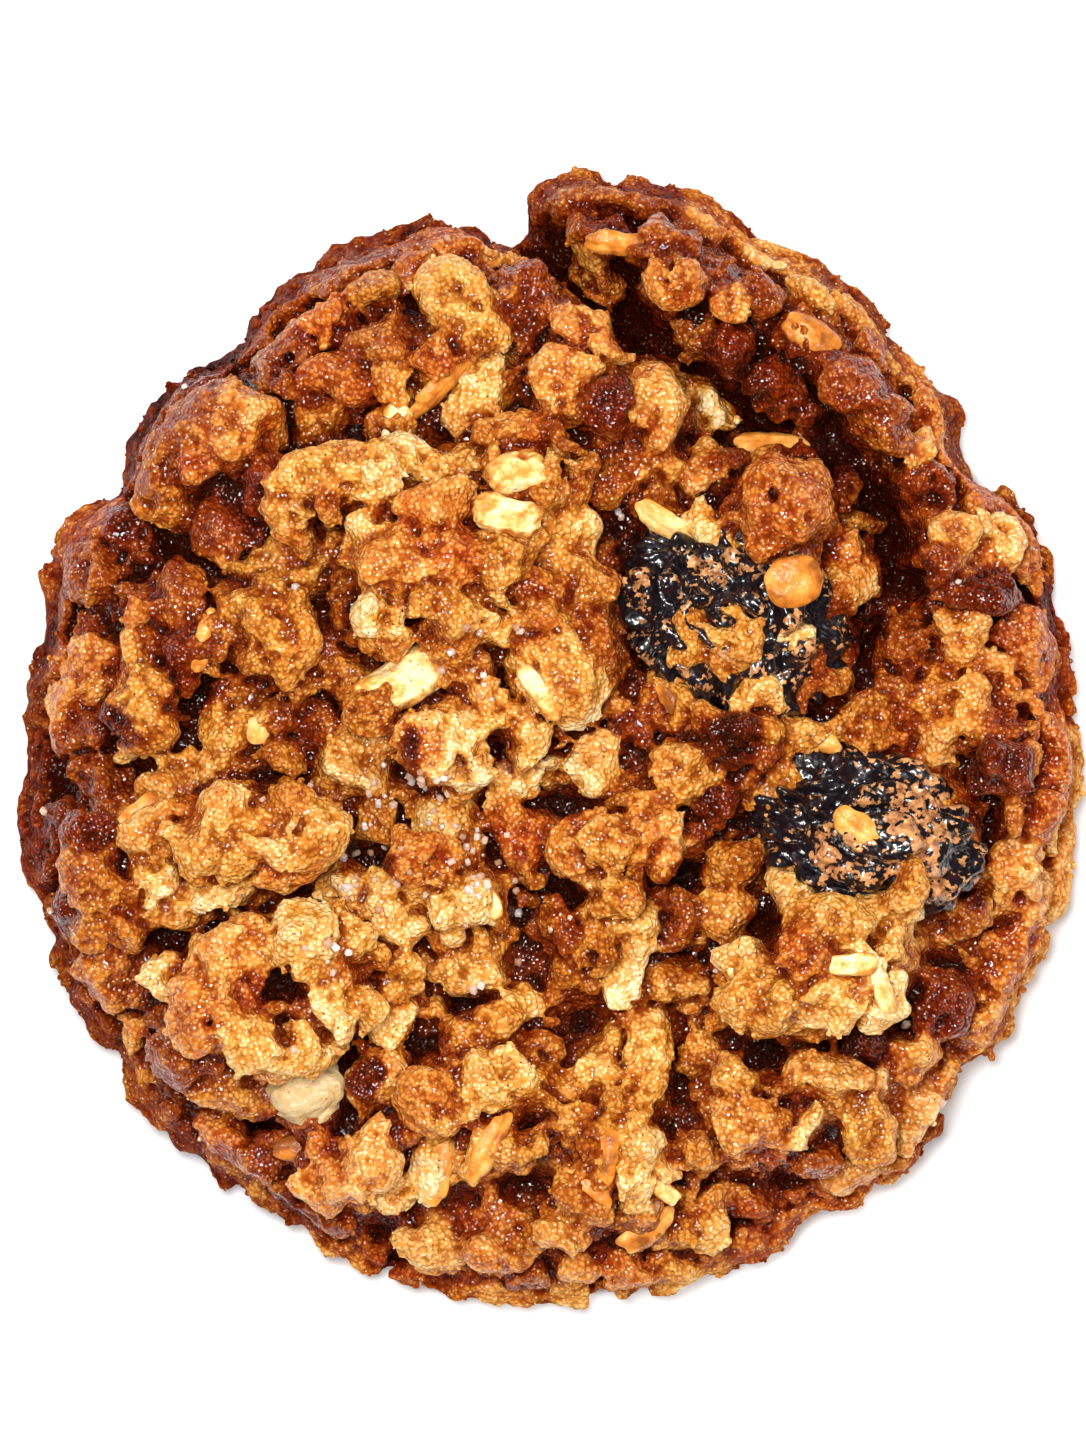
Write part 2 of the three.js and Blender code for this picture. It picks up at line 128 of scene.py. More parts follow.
# ---- the crumbs that show as themselves: x, y, half length, half width, turn, look ----
CRUMBS = {
    "far left lobe": [
        (-12, 50, 6, 3, -5, "rust"), (-20, 48, 5, 3, 25, "brown"), (-26, 45, 4, 3, 40, "brown"),
        (-31, 41, 4, 2.6, 50, "brown"), (-36.5, 35, 5.2, 3.6, 42, "dark"), (-42, 28, 3, 3, 60, "brown"),
        (-46, 21, 4, 4, 0, "rust"), (-46, 16.8, 4, 3, -30, "brown"), (-8.8, 43.6, 5.2, 3.5, -52, "gold"),
        (-13.6, 47.8, 2.5, 1.7, 60, "rust"), (-18, 45.4, 2.2, 1.6, 20, "tan"),
        (-22, 42.6, 3.2, 2, 35, "rust"), (-26.6, 38, 2.8, 3.6, -10, "brown"),
        (-25.4, 35.4, 2.6, 1.6, -30, "brown"), (-20.5, 36.6, 3.6, 2.8, -35, "rust"),
        (-15.8, 37, 4, 1.6, -75, "gold"), (-12, 38.6, 2.2, 1.9, 0, "rust"),
        (-6.2, 35.6, 3.4, 2.8, 40, "cream"), (-15.6, 31.6, 2.6, 1.9, 80, "tan"),
        (-22.5, 32, 3.2, 2, 15, "umber"), (-2.6, 44, 4.2, 3, 80, "brown"),
        (-3.4, 48.4, 3.4, 2, -35, "amber"), (1, 43.6, 3, 2, 60, "brown"), (-17, 49.5, 3, 1.6, 20, "dark"),
    ],
    "left shoulder": [
        (-35.4, 31, 5, 4.2, 40, "umber"), (-31, 31.6, 4.4, 3.8, 10, "amber"),
        (-33.6, 28.4, 3, 2.4, 0, "rust"), (-39, 27, 2.6, 2.6, 0, "umber"),
        (-38.2, 23.6, 3.6, 2, -10, "tan"), (-43, 21.4, 2.6, 2.2, 0, "dark"), (-32, 21.4, 4, 3, 35, "brown"),
        (-36.4, 12.4, 6, 2.8, 98, "brown"), (-36.6, 9, 3.4, 2.6, 100, "dark"),
        (-40.8, 13.4, 2.2, 1.8, 30, "copper"), (-41, 10.2, 2.2, 2, 0, "gold"),
        (-45.4, 9, 2.6, 2, 20, "rust"), (-49.2, 9.2, 2.2, 2.4, 0, "copper"),
        (-49.6, 12.6, 2, 3, 0, "brown"),
    ],
    "big heap": [
        (-20.9, 27.2, 6.6, 2.5, 8, "gold"), (-14.6, 28.4, 2.7, 2.3, 0, "cream"),
        (-26, 22.8, 3.8, 1.9, 110, "tan"), (-22.2, 23, 1.9, 0.9, 105, "tan"),
        (-10.2, 27.6, 2.5, 2.2, 0, "gold"), (-11.5, 23.4, 3.8, 2.6, 10, "amber"),
        (-18, 21.2, 2.4, 1.8, 20, "straw"), (-24.5, 18, 5.4, 3.4, 10, "gold"),
        (-15.5, 18, 4, 3.4, 0, "amber"), (-9.6, 18.4, 3.6, 3, 0, "rust"), (-4, 19, 3.6, 2.6, 70, "tan"),
        (-1.6, 15, 2.6, 2.4, 0, "umber"), (-4.4, 31.4, 3, 1.5, 10, "amber"),
        (-8.4, 33, 2.8, 1.8, 20, "gold"), (1.2, 20.6, 5, 2.6, 95, "straw"),
        (-17.2, 12.6, 2.5, 2.2, 0, "cream"), (-21, 8, 4.6, 2.4, 110, "umber"),
        (-11, 13.4, 3.2, 2.2, -20, "gold"), (-6, 12.6, 3.4, 2.6, -30, "straw"), (-8, 8, 3, 2.2, 20, "tan"),
        (-18, 3.2, 3.4, 1.9, 30, "tan"), (-4.8, 4.2, 3, 1.6, -10, "amber"), (0.8, 7, 6, 3.3, 100, "gold"),
        (2.4, 4.4, 3, 2.6, 40, "cream"), (3.6, 15, 4.6, 2.8, 70, "umber"), (-20, -1.6, 4, 3.6, 60, "gold"),
        (-12.4, -0.2, 2.8, 3.2, 20, "peach"), (-8.4, -0.6, 3, 3.2, 0, "cream"),
        (-3.8, -3.6, 2.9, 1.9, 25, "cream"), (-2.6, 0.2, 2, 1.8, 0, "straw"),
    ],
    "left of the heap": [
        (-31, 14, 3.4, 1.6, 14, "tan"), (-33.9, 10.6, 3.3, 1.2, 68, "umber"),
        (-28.4, 12.6, 2.5, 2.3, 0, "tan"), (-25.8, 10.4, 3.9, 2.7, 80, "tan"),
        (-25, 6.4, 2.4, 1.8, 0, "tan"), (-31.6, 2.6, 4.8, 2.5, 75, "tan"), (-29, 1.6, 1.7, 1, 80, "cream"),
        (-26, 3, 2.6, 2, 0, "brown"), (-27, -1.2, 2.6, 1.8, 0, "umber"),
        (-47.6, 4.6, 4.2, 2.6, 28, "amber"), (-47, 1.4, 3.6, 2.2, 10, "brown"),
        (-40.6, 3.6, 4.6, 3.4, 80, "tan"), (-40.4, 0.4, 3, 1.8, 10, "straw"),
        (-44.6, -3.2, 3, 2.4, 0, "brown"),
    ],
    "two lumps low on the left": [
        (-36.8, -3.4, 4.2, 2, 28, "gold"), (-42, -6.2, 2.8, 1.5, 38, "umber"),
        (-32.6, -5.8, 2.7, 2.2, 70, "peach"), (-39, -8, 3.9, 2, 14, "amber"),
        (-25, -9.4, 5.6, 3.5, 6, "gold"), (-33.4, -10.2, 4.6, 2.8, 0, "gold"),
        (-26, -12.2, 4.6, 1.8, 20, "amber"), (-25.2, -5.6, 2.9, 1.3, -32, "umber"),
        (-39, -13.6, 2.5, 2.5, 0, "straw"), (-36.6, -15.6, 4.6, 2.1, -4, "gold"),
        (-32.6, -14.4, 3.2, 2.1, 8, "straw"), (-45.4, -13.4, 3.4, 3.4, 0, "umber"),
        (-46.8, -17, 2.8, 2.4, 30, "dark"), (-44.4, -18.4, 3.6, 2.4, 0, "umber"),
        (-43.4, -23, 3.6, 3.2, 30, "copper"), (-39, -22.8, 2.5, 1.6, 20, "straw"),
        (-31.6, -20.6, 4.4, 2.9, 15, "amber"), (-34, -26.6, 4.6, 3.9, 20, "amber"),
        (-28.4, -30, 4.6, 2.8, -10, "straw"), (-36.6, -31, 3.4, 3.4, 0, "brown"),
        (-31, -34.2, 5.2, 2.9, -6, "tan"), (-24, -31, 4.2, 1.7, 18, "gold"),
        (-21.8, -26.6, 3.6, 1.6, 110, "straw"), (-24.5, -19, 3.9, 3, 80, "straw"),
        (-19.6, -19.2, 2.3, 1.9, 30, "gold"), (-15.4, -22.6, 2.5, 2, 0, "gold"),
        (-18.6, -26, 3.2, 1.7, 115, "gold"), (-15.6, -27.2, 2.4, 2.1, 0, "straw"),
        (-14.6, -17.6, 3, 2.4, 100, "gold"),
    ],
    "middle": [
        (-17.4, -7.2, 2.5, 1.9, 100, "umber"), (-10.2, -7.2, 3.4, 2.8, 20, "straw"),
        (-13.2, -11, 3.6, 2.4, 0, "rust"), (-3.4, -8.4, 4, 2.4, -52, "rust"),
        (-21, -14, 3, 2.2, 40, "straw"), (-16.4, -14.6, 2.8, 1.8, 30, "straw"),
        (-9, -16.4, 3.4, 3, 0, "straw"), (-7.6, -21, 3.6, 3.2, 90, "gold"),
        (4.2, -1.8, 3, 2.6, 80, "straw"), (13, -2.6, 3, 3, 0, "gold"), (13, 3.6, 4.3, 1.5, -56, "tan"),
        (10.4, 4, 1.7, 1.7, 0, "brown"), (8, 1.6, 2.4, 1.8, 0, "dark"), (2.8, -9.8, 3.2, 2.5, 50, "amber"),
        (6, -10, 2.4, 2, 0, "tan"), (10.2, -8.8, 3.8, 2.8, 100, "amber"), (14, -9, 2, 1.6, 0, "dark"),
        (17, -5.6, 3, 1.9, 100, "dark"), (17.2, -12.8, 2.2, 2, 20, "gold"),
        (17.2, -16.8, 3.4, 2.2, -38, "tan"), (6, -15, 2.7, 2.5, 0, "gold"), (7.1, -21, 5, 1.8, 84, "cream"),
        (4.2, -21, 2, 1.3, 100, "tan"), (1.4, -18, 3.6, 2.2, 100, "brown"),
        (12.2, -16.6, 3, 2.2, 90, "brown"), (12.4, -23.6, 3, 2.2, 0, "tan"),
    ],
    "lower edge": [
        (-17, -33, 3.8, 2.5, 60, "peach"), (-29, -41, 3.4, 1.8, 8, "brown"),
        (-32.4, -38.8, 2.3, 1.7, -20, "copper"), (-24.4, -39.8, 3.4, 1.3, 8, "brown"),
        (-18, -41, 3.6, 3, 80, "peach"), (-21.6, -44, 4.4, 2.4, 12, "amber"),
        (-15.8, -44.6, 2.5, 2.2, 0, "straw"), (-26, -45.4, 3, 1.9, -25, "dark"),
        (-22.4, -48, 2.4, 1.7, -10, "brown"), (-12.4, -35, 3.2, 2.7, 40, "amber"),
        (-6, -33.4, 4, 2.9, 10, "straw"), (-10, -37, 2.4, 2, 0, "gold"),
        (-11.6, -41.6, 4.6, 1.7, 84, "cream"), (-6.2, -40.2, 4, 1.2, 60, "gold"),
        (-3.4, -40, 2.5, 2.3, 0, "umber"), (-6.4, -28.2, 4.6, 2.2, 20, "tan"),
        (-2.8, -25.6, 3.2, 1.8, 10, "straw"), (-11.4, -50, 3.8, 2.6, -10, "gold"),
        (-5.8, -50.2, 3.6, 2.7, 0, "amber"), (-2, -48.6, 2.7, 2.3, 0, "tan"),
        (-2, -53.6, 2, 1.6, 0, "brown"), (9.6, -31.4, 5.4, 2.1, 74, "gold"), (15, -30, 2.2, 2, 30, "tan"),
        (4.6, -33.2, 2.4, 2, 60, "gold"), (1.4, -34.6, 2.2, 1.6, 20, "gold"),
        (2.4, -37.8, 2.5, 2, 20, "tan"), (8.2, -41.4, 4.4, 2.4, 90, "straw"),
        (11.6, -41.8, 2, 1.4, -60, "peach"), (3.2, -44.4, 3.4, 2, -34, "tan"),
        (5, -40.6, 3, 1.4, 85, "tan"), (1.6, -48.2, 2.7, 2.6, 0, "amber"), (3, -52, 1.7, 1.6, 0, "rust"),
        (7.4, -52.6, 3, 2.7, 0, "rust"), (12.6, -52, 3, 2.7, 0, "straw"),
        (15.8, -48.4, 2.6, 2, 100, "gold"), (22, -49.2, 4.4, 2.7, 20, "rust"),
        (15, -40.6, 2.6, 2.4, 0, "tan"), (19.4, -38, 3.8, 2.3, -30, "amber"),
        (18.4, -33.6, 2.7, 1.8, 105, "gold"), (22.2, -38, 1.9, 1.7, 0, "copper"),
        (25, -38.4, 2, 1.6, 30, "straw"), (26.4, -41.4, 2.4, 1.7, 0, "brown"),
    ],
    "lower right": [
        (27.6, -32.8, 3.6, 2.7, -30, "peach"), (31.6, -38.2, 4, 2.3, 100, "tan"),
        (30, -43, 3, 2.3, 20, "amber"), (36, -36.6, 4.4, 2.6, 80, "amber"),
        (39.6, -33.4, 3, 1.8, 80, "rust"), (24, -14.2, 3.4, 2.1, -52, "straw"),
        (27.6, -17.6, 4.2, 2.7, 10, "gold"), (32.6, -17.4, 4, 3.2, 20, "straw"),
        (35.6, -14, 3.2, 1.7, 80, "tan"), (20.4, -25.8, 3.9, 3.2, 20, "gold"),
        (27, -25.8, 4.2, 2.6, 0, "straw"), (33, -25.6, 2.6, 2.2, 60, "straw"),
        (30.4, -21.8, 2.6, 1.3, 0, "cream"), (18.8, -21.6, 2.3, 2.1, 0, "straw"),
        (24.6, -20.8, 3, 2.2, 0, "rust"), (38.6, -25.8, 3.2, 2.9, 0, "dark"),
        (43, -28, 3.2, 3.2, 60, "amber"), (45, -21.4, 3.6, 2.7, 80, "rust"),
        (41, -17.6, 3, 1.9, 0, "umber"), (46, -12.6, 3, 2.6, 0, "peach"),
        (49.8, -12.6, 5, 2.3, 82, "peach"), (48.6, -7.2, 3.3, 2.1, 50, "rust"),
        (47.4, -16.4, 2.8, 2.3, 30, "amber"), (44.6, -2.4, 3, 2.6, 0, "dark"),
        (50, -1.2, 4, 2.3, 84, "rust"),
    ],
    "round the raisins": [
        (14, 10.8, 2.8, 2.4, 30, "tan"), (18.2, 10, 3, 2.4, 70, "gold"), (20.2, 5, 3, 1.6, -16, "straw"),
        (24.4, 11, 1.4, 1, 80, "straw"), (26, 6.6, 3, 1.1, 84, "brown"), (24.6, 1, 4, 2.2, -25, "gold"),
        (27, 0.2, 1.8, 0.9, -24, "cream"), (30.6, 2.2, 3.6, 1.8, 14, "tan"),
        (21, -0.8, 2.4, 2, 60, "brown"), (29.5, -5.2, 1.6, 1.1, 0, "rust"), (36, 9.6, 3.2, 3, 0, "brown"),
        (40.6, 11.2, 2.9, 2.6, -30, "amber"), (44, 8, 2.2, 1.6, 0, "amber"),
        (47.6, 9.6, 4.4, 3.4, 80, "rust"), (34.4, 5, 2.6, 2.4, 0, "brown"),
        (38.4, 4.4, 2.6, 1.8, 90, "tan"), (38.4, 0.4, 3.5, 2.3, 80, "peach"),
        (42.2, 3.4, 3.6, 1.9, -66, "peach"), (23.4, 24.2, 4.8, 4.4, 60, "rust"),
        (28.6, 19, 3, 2.3, 100, "rust"), (29.6, 15.6, 2.7, 1.7, 80, "peach"),
        (16, 21.4, 3.8, 1.9, -36, "gold"), (31, 21.8, 2.5, 1.5, -24, "tan"), (29, 26, 2.2, 1.3, 90, "dark"),
        (32, 17, 2, 1.2, 90, "dark"),
    ],
    "upper middle": [
        (10.4, 27, 2.4, 2.1, 0, "gold"), (14.6, 27.6, 2.8, 2.3, 60, "amber"),
        (17.6, 28.4, 1.8, 1.5, 0, "dark"), (6, 26.8, 3.4, 2, 80, "umber"),
        (10.4, 34, 3.6, 3.3, 80, "peach"), (15.6, 34.2, 3.6, 2.1, -32, "cream"),
        (6, 34, 2.7, 1.5, 42, "dark"), (1.4, 36.6, 3.4, 2.6, -30, "amber"), (1.8, 33.4, 2.4, 2, 0, "tan"),
        (4, 40.8, 4.6, 1.9, -32, "amber"),
    ],
    "right lobe": [
        (3, 55, 5.6, 2.4, 6, "brown"), (9.6, 54.4, 2.3, 1.9, 0, "brown"),
        (3.4, 51.4, 2.2, 1.6, -20, "brown"), (4, 48.8, 2.8, 1.9, 100, "gold"),
        (3.4, 45.6, 3, 1.9, 100, "tan"), (16, 53, 4, 2.6, -20, "amber"), (12.4, 50, 3, 2, -30, "brown"),
        (12.2, 45.8, 2.7, 1.8, -16, "amber"), (17.6, 43.8, 2.1, 2, 0, "amber"),
        (22.4, 49, 5, 2.3, -26, "peach"), (27.4, 46.6, 2.7, 1.8, -30, "copper"),
        (31.4, 43, 3.6, 2.3, -60, "amber"), (26.2, 44.4, 3, 1.9, -24, "gold"),
        (21.4, 45, 2, 1.8, 0, "brown"), (22.4, 36.2, 3, 2.7, 0, "dark"), (24.6, 33.4, 2, 1.5, 0, "dark"),
        (30, 36, 3, 2.7, 0, "brown"), (33, 32.4, 3.4, 2.7, -50, "brown"),
        (36.4, 29.6, 1.9, 1.6, 0, "peach"), (36.4, 38, 4, 3, -45, "amber"),
        (38.4, 31.8, 4.6, 2.4, 100, "rust"), (37.2, 26.2, 3.8, 2, -30, "dark"),
        (43, 24.4, 4.6, 2.3, -48, "rust"), (47.4, 19.6, 4, 2.3, 100, "rust"),
        (40, 20.6, 2.5, 2.2, 80, "peach"), (44.4, 20.4, 3, 2.1, 110, "peach"),
        (38.2, 18, 2, 1.8, 0, "dark"), (31.6, 39.4, 2.2, 1.8, 0, "copper"), (14.4, 41, 2, 1.6, 0, "brown"),
        (18, 39.4, 2.6, 2, 0, "dark"), (43.4, 15, 3, 1.8, 10, "dark"), (49.4, 14, 2.4, 2, 80, "dark"),
    ],
    "low brown foot": [
        (-50.0, 4.3, 4, 2, 80, "brown"), (-50.6, -5.3, 4.4, 2.2, 92, "brown"),
        (-49.4, -12.5, 5.8, 3, 108, "brown"), (-46.8, -3.5, 4, 2.6, 80, "umber"),
        (-46.2, -22.8, 4.6, 2.3, 110, "umber"), (-42.5, -28.3, 4, 2.2, -40, "umber"),
        (-38.8, -32.8, 3.8, 3.2, -40, "tan"), (-34.7, -37.6, 3.2, 2.3, -40, "brown"),
        (-30.8, -41.3, 3.8, 2.2, -40, "umber"), (-25.3, -45.2, 3.8, 1.9, -30, "umber"),
        (-18.1, -49.1, 4.2, 2, -18, "brown"), (-9.2, -52.6, 4.4, 1.9, -10, "tan"),
        (0.9, 48.4, 3, 2.2, -30, "dark"),
    ],
    "among the others": [
        (-22.4, 1.4, 2.4, 1.8, 20, "brown"), (17.8, 0.8, 3, 2.2, 60, "burnt"),
        (22.6, -4.4, 2.4, 1.8, 60, "tan"), (-1.5, 31.2, 2.6, 2, 0, "rust"),
        # the dark crumb at -27.6, 26.2 is painted shade in a gap
        (-27.6, 26.2, 3, 2.4, 20, "dark"), (-46.6, -8.6, 2.6, 2.2, 60, "dark"),
        (8.4, -18.6, 3.4, 2.2, 84, "straw"), (18.4, 11.2, 2.6, 2.2, 0, "gold"),
        (-17.4, 26.4, 2.6, 1.8, 8, "straw"), (31.4, -30.4, 2.6, 1.8, 10, "burnt"),
        (29.2, 16, 2.6, 2.6, 0, "peach"), (27.6, 6.4, 1.6, 1.2, 60, "umber"),
    ],
}
FOOT = "low brown foot"
FOOT_HEIGHT = 3.2  # height of the middle of those crumbs

# ---- hollows between the crumbs: x, y, half length, half width, turn, how deep and how dark with painted shade (0 to 1) ----
HOLLOWS = [
    # upper left
    (-34, 36, 2, 2, 0, 0.6), (-26.2, 31.5, 3.5, 1.4, 110, 0.8), (-27.5, 27.8, 3, 1.2, 50, 0.5),
    (-32.5, 25, 2.2, 1.2, 25, 0.9), (-28.6, 24, 1.4, 1.2, 0, 0.5), (-37, 20, 2.2, 1.8, 0, 1.0),
    (-40.5, 21.8, 2.5, 0.9, -20, 0.7), (-30.6, 19.6, 1.8, 1.3, 0, 0.7), (-31, 16.4, 2, 0.8, -20, 0.5),
    (-40.5, 17.2, 2.5, 1, 20, 0.6), (-43.5, 12, 2.6, 1.3, -25, 0.6), (-38.4, 9.5, 4, 1.1, 100, 0.6),
    (-34.8, 4.8, 3.2, 1.5, 15, 1.0), (-32, 7.4, 2, 1, 60, 0.6), (-26, 4, 4.5, 1.4, -10, 0.55),
    (-22.6, 8, 3.4, 1, 85, 0.7), (-22.4, 13, 3, 1, 95, 0.5), (-22, 2.5, 2.5, 1.2, 100, 0.6),
    (-19.6, 13.6, 2, 0.9, 80, 0.45), (-24, 15, 3, 1.4, 0, 0.35), (-43.8, 2, 3.6, 1.6, -30, 0.9),
    (-36.6, 0.6, 2, 1.5, 60, 0.7), (-21.8, 22, 2.4, 1, 115, 0.6), (-16.2, 22, 1.5, 0.8, -60, 0.45),
    (-12.9, 25.6, 2.4, 1, 80, 0.5), (-21.5, 33.5, 2.8, 1.5, -30, 0.75), (-19, 31, 2, 1.3, -40, 0.7),
    (-22.6, 35.6, 1.5, 1, 30, 0.5), (-18, 42.8, 1.9, 1.2, 20, 0.7), (-13.6, 44, 2.3, 1.2, 100, 0.8),
    (-20, 46, 1.5, 1, 30, 0.5), (-9.6, 39.6, 1.6, 1, 20, 0.65), (-24, 40.4, 2, 0.9, 20, 0.4),
    (-28.8, 37.4, 1.2, 1, 0, 0.5), (-3.4, 40.6, 2.5, 1.6, -40, 0.8), (-4.6, 44.6, 2.6, 1, 80, 0.5),
    (-3.2, 34.4, 2.6, 1.3, 85, 0.6), (-10.6, 32.2, 2, 1.2, 60, 0.5), (-14.2, 12.8, 1.2, 1.1, 0, 1.0),
    (-5, -0.4, 1.6, 0.9, 100, 1.0), (-8.4, 18.4, 1.8, 1.4, 30, 0.3), (-3.6, 14.8, 2, 1, 20, 0.35),
    # upper right
    (0.6, 48.6, 2.4, 1.2, 110, 0.8), (8.6, 51.8, 1.4, 1.2, 0, 0.8), (7.6, 47.4, 2.2, 1.2, -30, 0.8),
    (8, 42, 2.6, 2.2, 0, 1.0), (11.5, 40.3, 2.6, 1.2, -45, 0.8), (16, 37.6, 3.2, 1.1, -28, 0.9),
    (20, 36, 4.2, 1.5, 85, 1.0), (25.8, 34, 2.6, 1.2, 100, 0.8), (27.6, 30.6, 4, 1.3, 110, 0.9),
    (30.5, 27.3, 2, 1, -40, 0.8), (33, 24, 2.8, 1.6, -60, 0.9), (34, 20, 3, 1.6, 90, 0.9),
    (35.5, 16.6, 2.4, 1.3, -10, 1.0), (32, 11, 2.8, 2.2, 90, 1.0), (31.4, 6.8, 2, 1, 90, 1.0),
    (29, 23, 1.2, 1, 0, 0.6), (43, 12.9, 4.2, 1, 8, 0.7), (42.4, 24.2, 1.2, 0.7, 0, 0.4),
    # the first three hollows on the next line darken the strip left of raisin_1: painted shade of the raisin
    (6.6, 21.8, 2.2, 1.6, 0, 1.0), (8.4, 17, 3.4, 1.3, 100, 0.9), (8.4, 10, 2.5, 1.5, 100, 0.9),
    (7.4, 6.6, 2.6, 1.2, 100, 0.7), (12, 2.4, 2, 1.2, -45, 0.7), (0.6, 0.4, 1.5, 1, 0, 0.6),
    (24, 3.5, 3.2, 0.9, -20, 0.8), (16.2, 24.4, 1.4, 1.1, 0, 0.6), (17.6, 25.6, 2.4, 0.9, 60, 0.5),
    (13, 29.6, 1.5, 1, 0, 0.4), (17.6, 30, 1.6, 1.2, 60, 0.5), (5.6, 36, 1.2, 1, 0, 0.5),
    (1.2, 28, 2.4, 1.4, 75, 0.7), (2.2, 31.4, 2, 1, -60, 0.6), (14, 43, 2, 1.2, 20, 0.5),
    (34.6, 33.2, 1.6, 1.2, 60, 0.7), (46, 3, 2, 1.3, -20, 0.7), (47.5, 15.6, 2.4, 1.2, -20, 0.6),
    (36.4, 27.4, 2, 1.2, -50, 0.5), (18, 40.6, 1.4, 1.2, 0, 0.5), (8.6, 30.6, 1.4, 0.9, 60, 0.4),
    # lower left
    (-48, -3, 3, 1.2, 60, 0.6), (-45.4, -7, 2.4, 1.2, 70, 0.8), (-48, -12, 3, 1.2, 70, 0.7),
    (-41, -2.6, 2.6, 1.4, 40, 0.8), (-28.2, -4, 1.6, 1.2, 90, 0.6), (-24, -3.6, 2, 1.4, 90, 0.75),
    (-14.4, -1.4, 2.4, 1.1, 90, 0.85), (-12, -4, 2.5, 0.9, -20, 0.4), (-20, -7.4, 2, 1, 110, 0.6),
    (-16, -9, 2, 1, 90, 0.6), (-19, -11.2, 2.4, 1.1, 10, 0.85), (-22, -13, 2, 1, 30, 0.6),
    (-28.4, -15.9, 2, 1.1, 0, 0.6), (-38.6, -19.6, 2.2, 1.3, 0, 0.9), (-34.6, -18.4, 2.4, 0.9, 10, 0.6),
    (-42, -14, 3.4, 1, 85, 0.5), (-36.8, -12, 1.4, 0.9, 100, 0.6), (-39, -9.2, 1, 0.8, 0, 0.4),
    (-26.6, -24.6, 1.9, 1.1, -10, 0.95), (-26.6, -27, 1, 1, 0, 0.4), (-34.2, -28.4, 0.8, 0.8, 0, 0.5),
    (-39.5, -29, 2, 1.4, 60, 0.4), (-41, -26, 1.5, 1, 90, 0.4), (-29, -38, 2.2, 1.6, 40, 0.9),
    (-19.6, -33, 3.2, 1.3, 80, 0.9), (-20.2, -36.8, 1.8, 1.3, 60, 0.9), (-12.6, -29.6, 2.6, 1.8, 20, 0.9),
    (-8.6, -25.8, 1.6, 1, 10, 0.9), (-18, -22.6, 1.4, 0.9, -60, 0.6), (-3.2, -16.6, 2, 1.4, 90, 0.8),
    (-3.2, -21, 3, 1.4, 85, 0.75), (-2.6, -23.6, 2, 1.1, 20, 0.8), (0.9, -5.8, 2.6, 1.3, -10, 0.95),
    (-5.6, -10.4, 2.4, 1.2, 80, 0.5), (-7.2, -6.6, 1, 1, 0, 0.5), (-16.8, -36.4, 1.4, 1, 40, 0.5),
    (-8.2, -38.4, 1.6, 1.1, 90, 0.6), (-2, -39.4, 2, 1.1, 90, 0.7), (-2, -43.6, 3, 1.3, 5, 0.8),
    (-8.4, -46.4, 2, 1.6, 20, 0.5), (-13.8, -46, 2.2, 1.1, 100, 0.7), (-17, -48.6, 2.6, 1.2, 20, 0.75),
    (-15.2, -51, 1.6, 1, 60, 0.6), (-26.8, -43, 1.2, 1, 0, 0.6), (-32, -39.4, 1.6, 1, 40, 0.6),
    # lower right
    (17, -8.6, 2.4, 1.5, 70, 0.75), (15.6, -5.4, 1.4, 1, 0, 0.6), (12.6, -13, 3, 1.2, 12, 0.9),
    (1.6, -14.8, 2, 1.2, -10, 0.7), (21.2, -17.6, 2.2, 1.4, 80, 1.0), (13.6, -18.6, 3.2, 1, 75, 0.6),
    (15.2, -22.4, 2.4, 1, 80, 0.6), (3, -27.6, 2.7, 2, 10, 1.0), (9.6, -24.8, 1.6, 0.8, 80, 0.5),
    (18, -29, 1.6, 0.9, -40, 0.6), (21.6, -31, 2.4, 1.4, 10, 0.9), (20.8, -34.6, 2.4, 1.2, 80, 0.8),
    (22.4, -36, 1.6, 0.8, 0, 0.7), (13, -33.5, 4, 1.2, 80, 0.8), (11.4, -37.8, 2.2, 1.6, -30, 0.8),
    (12.8, -43, 2.4, 1.1, 90, 0.7), (25.6, -35.4, 1.4, 0.9, 0, 0.6), (27.8, -38.6, 2, 1, 90, 0.6),
    (28.6, -40.8, 1.4, 0.9, -30, 0.7), (19, -43.4, 2.4, 1.3, 0, 0.7), (23, -43.6, 2.6, 1.1, 5, 0.8),
    (31, -29.4, 2, 1, -10, 0.85), (34.4, -28, 1.2, 0.9, 0, 0.7), (36, -26, 3, 1.2, 80, 0.75),
    (38.6, -21.6, 2.4, 1.2, -20, 0.8), (42, -3.4, 3.2, 1.2, 100, 0.9), (44.2, -8, 4, 1.2, 90, 0.85),
    (42, -15.6, 1.8, 1.3, 70, 0.9), (45, -18.6, 1.6, 1.2, 0, 0.6), (47, -15, 1.3, 1, 90, 0.6),
    (40.6, -30.2, 2, 1.1, -20, 0.7), (6, -49.2, 1.8, 1.6, 0, 0.7), (18, -47.8, 1.2, 1.1, 0, 0.8),
    (4, -47.6, 1.6, 1, 0, 0.5), (5, -53.6, 2, 1, 90, 0.5), (9.8, -18, 2.6, 0.7, 85, 0.35),
    (26, -30.4, 4, 0.8, 4, 0.6), (37.6, -17, 2.6, 0.9, 95, 0.6), (33.2, -36.6, 2.6, 0.8, 70, 0.4),
]
HOLLOW_RIM = 0.3  # how far a hollow reaches past its sizes
HOLLOW_FADE = 0.9  # how quickly it gets shallower away from its middle
HOLLOW_DEPTH = 2.0  # how much a hollow of 1 sinks the crumbs
HOLLOW_SHADE = 0.26  # how much darker painted shade, and syrup pooled there, makes them
HOLLOW_WETS = 0.3  # and how much wetter
OPEN = {"from": 0.85, "share": 0.9, "depth": 3.5}  # hollows this deep have an open hole in them

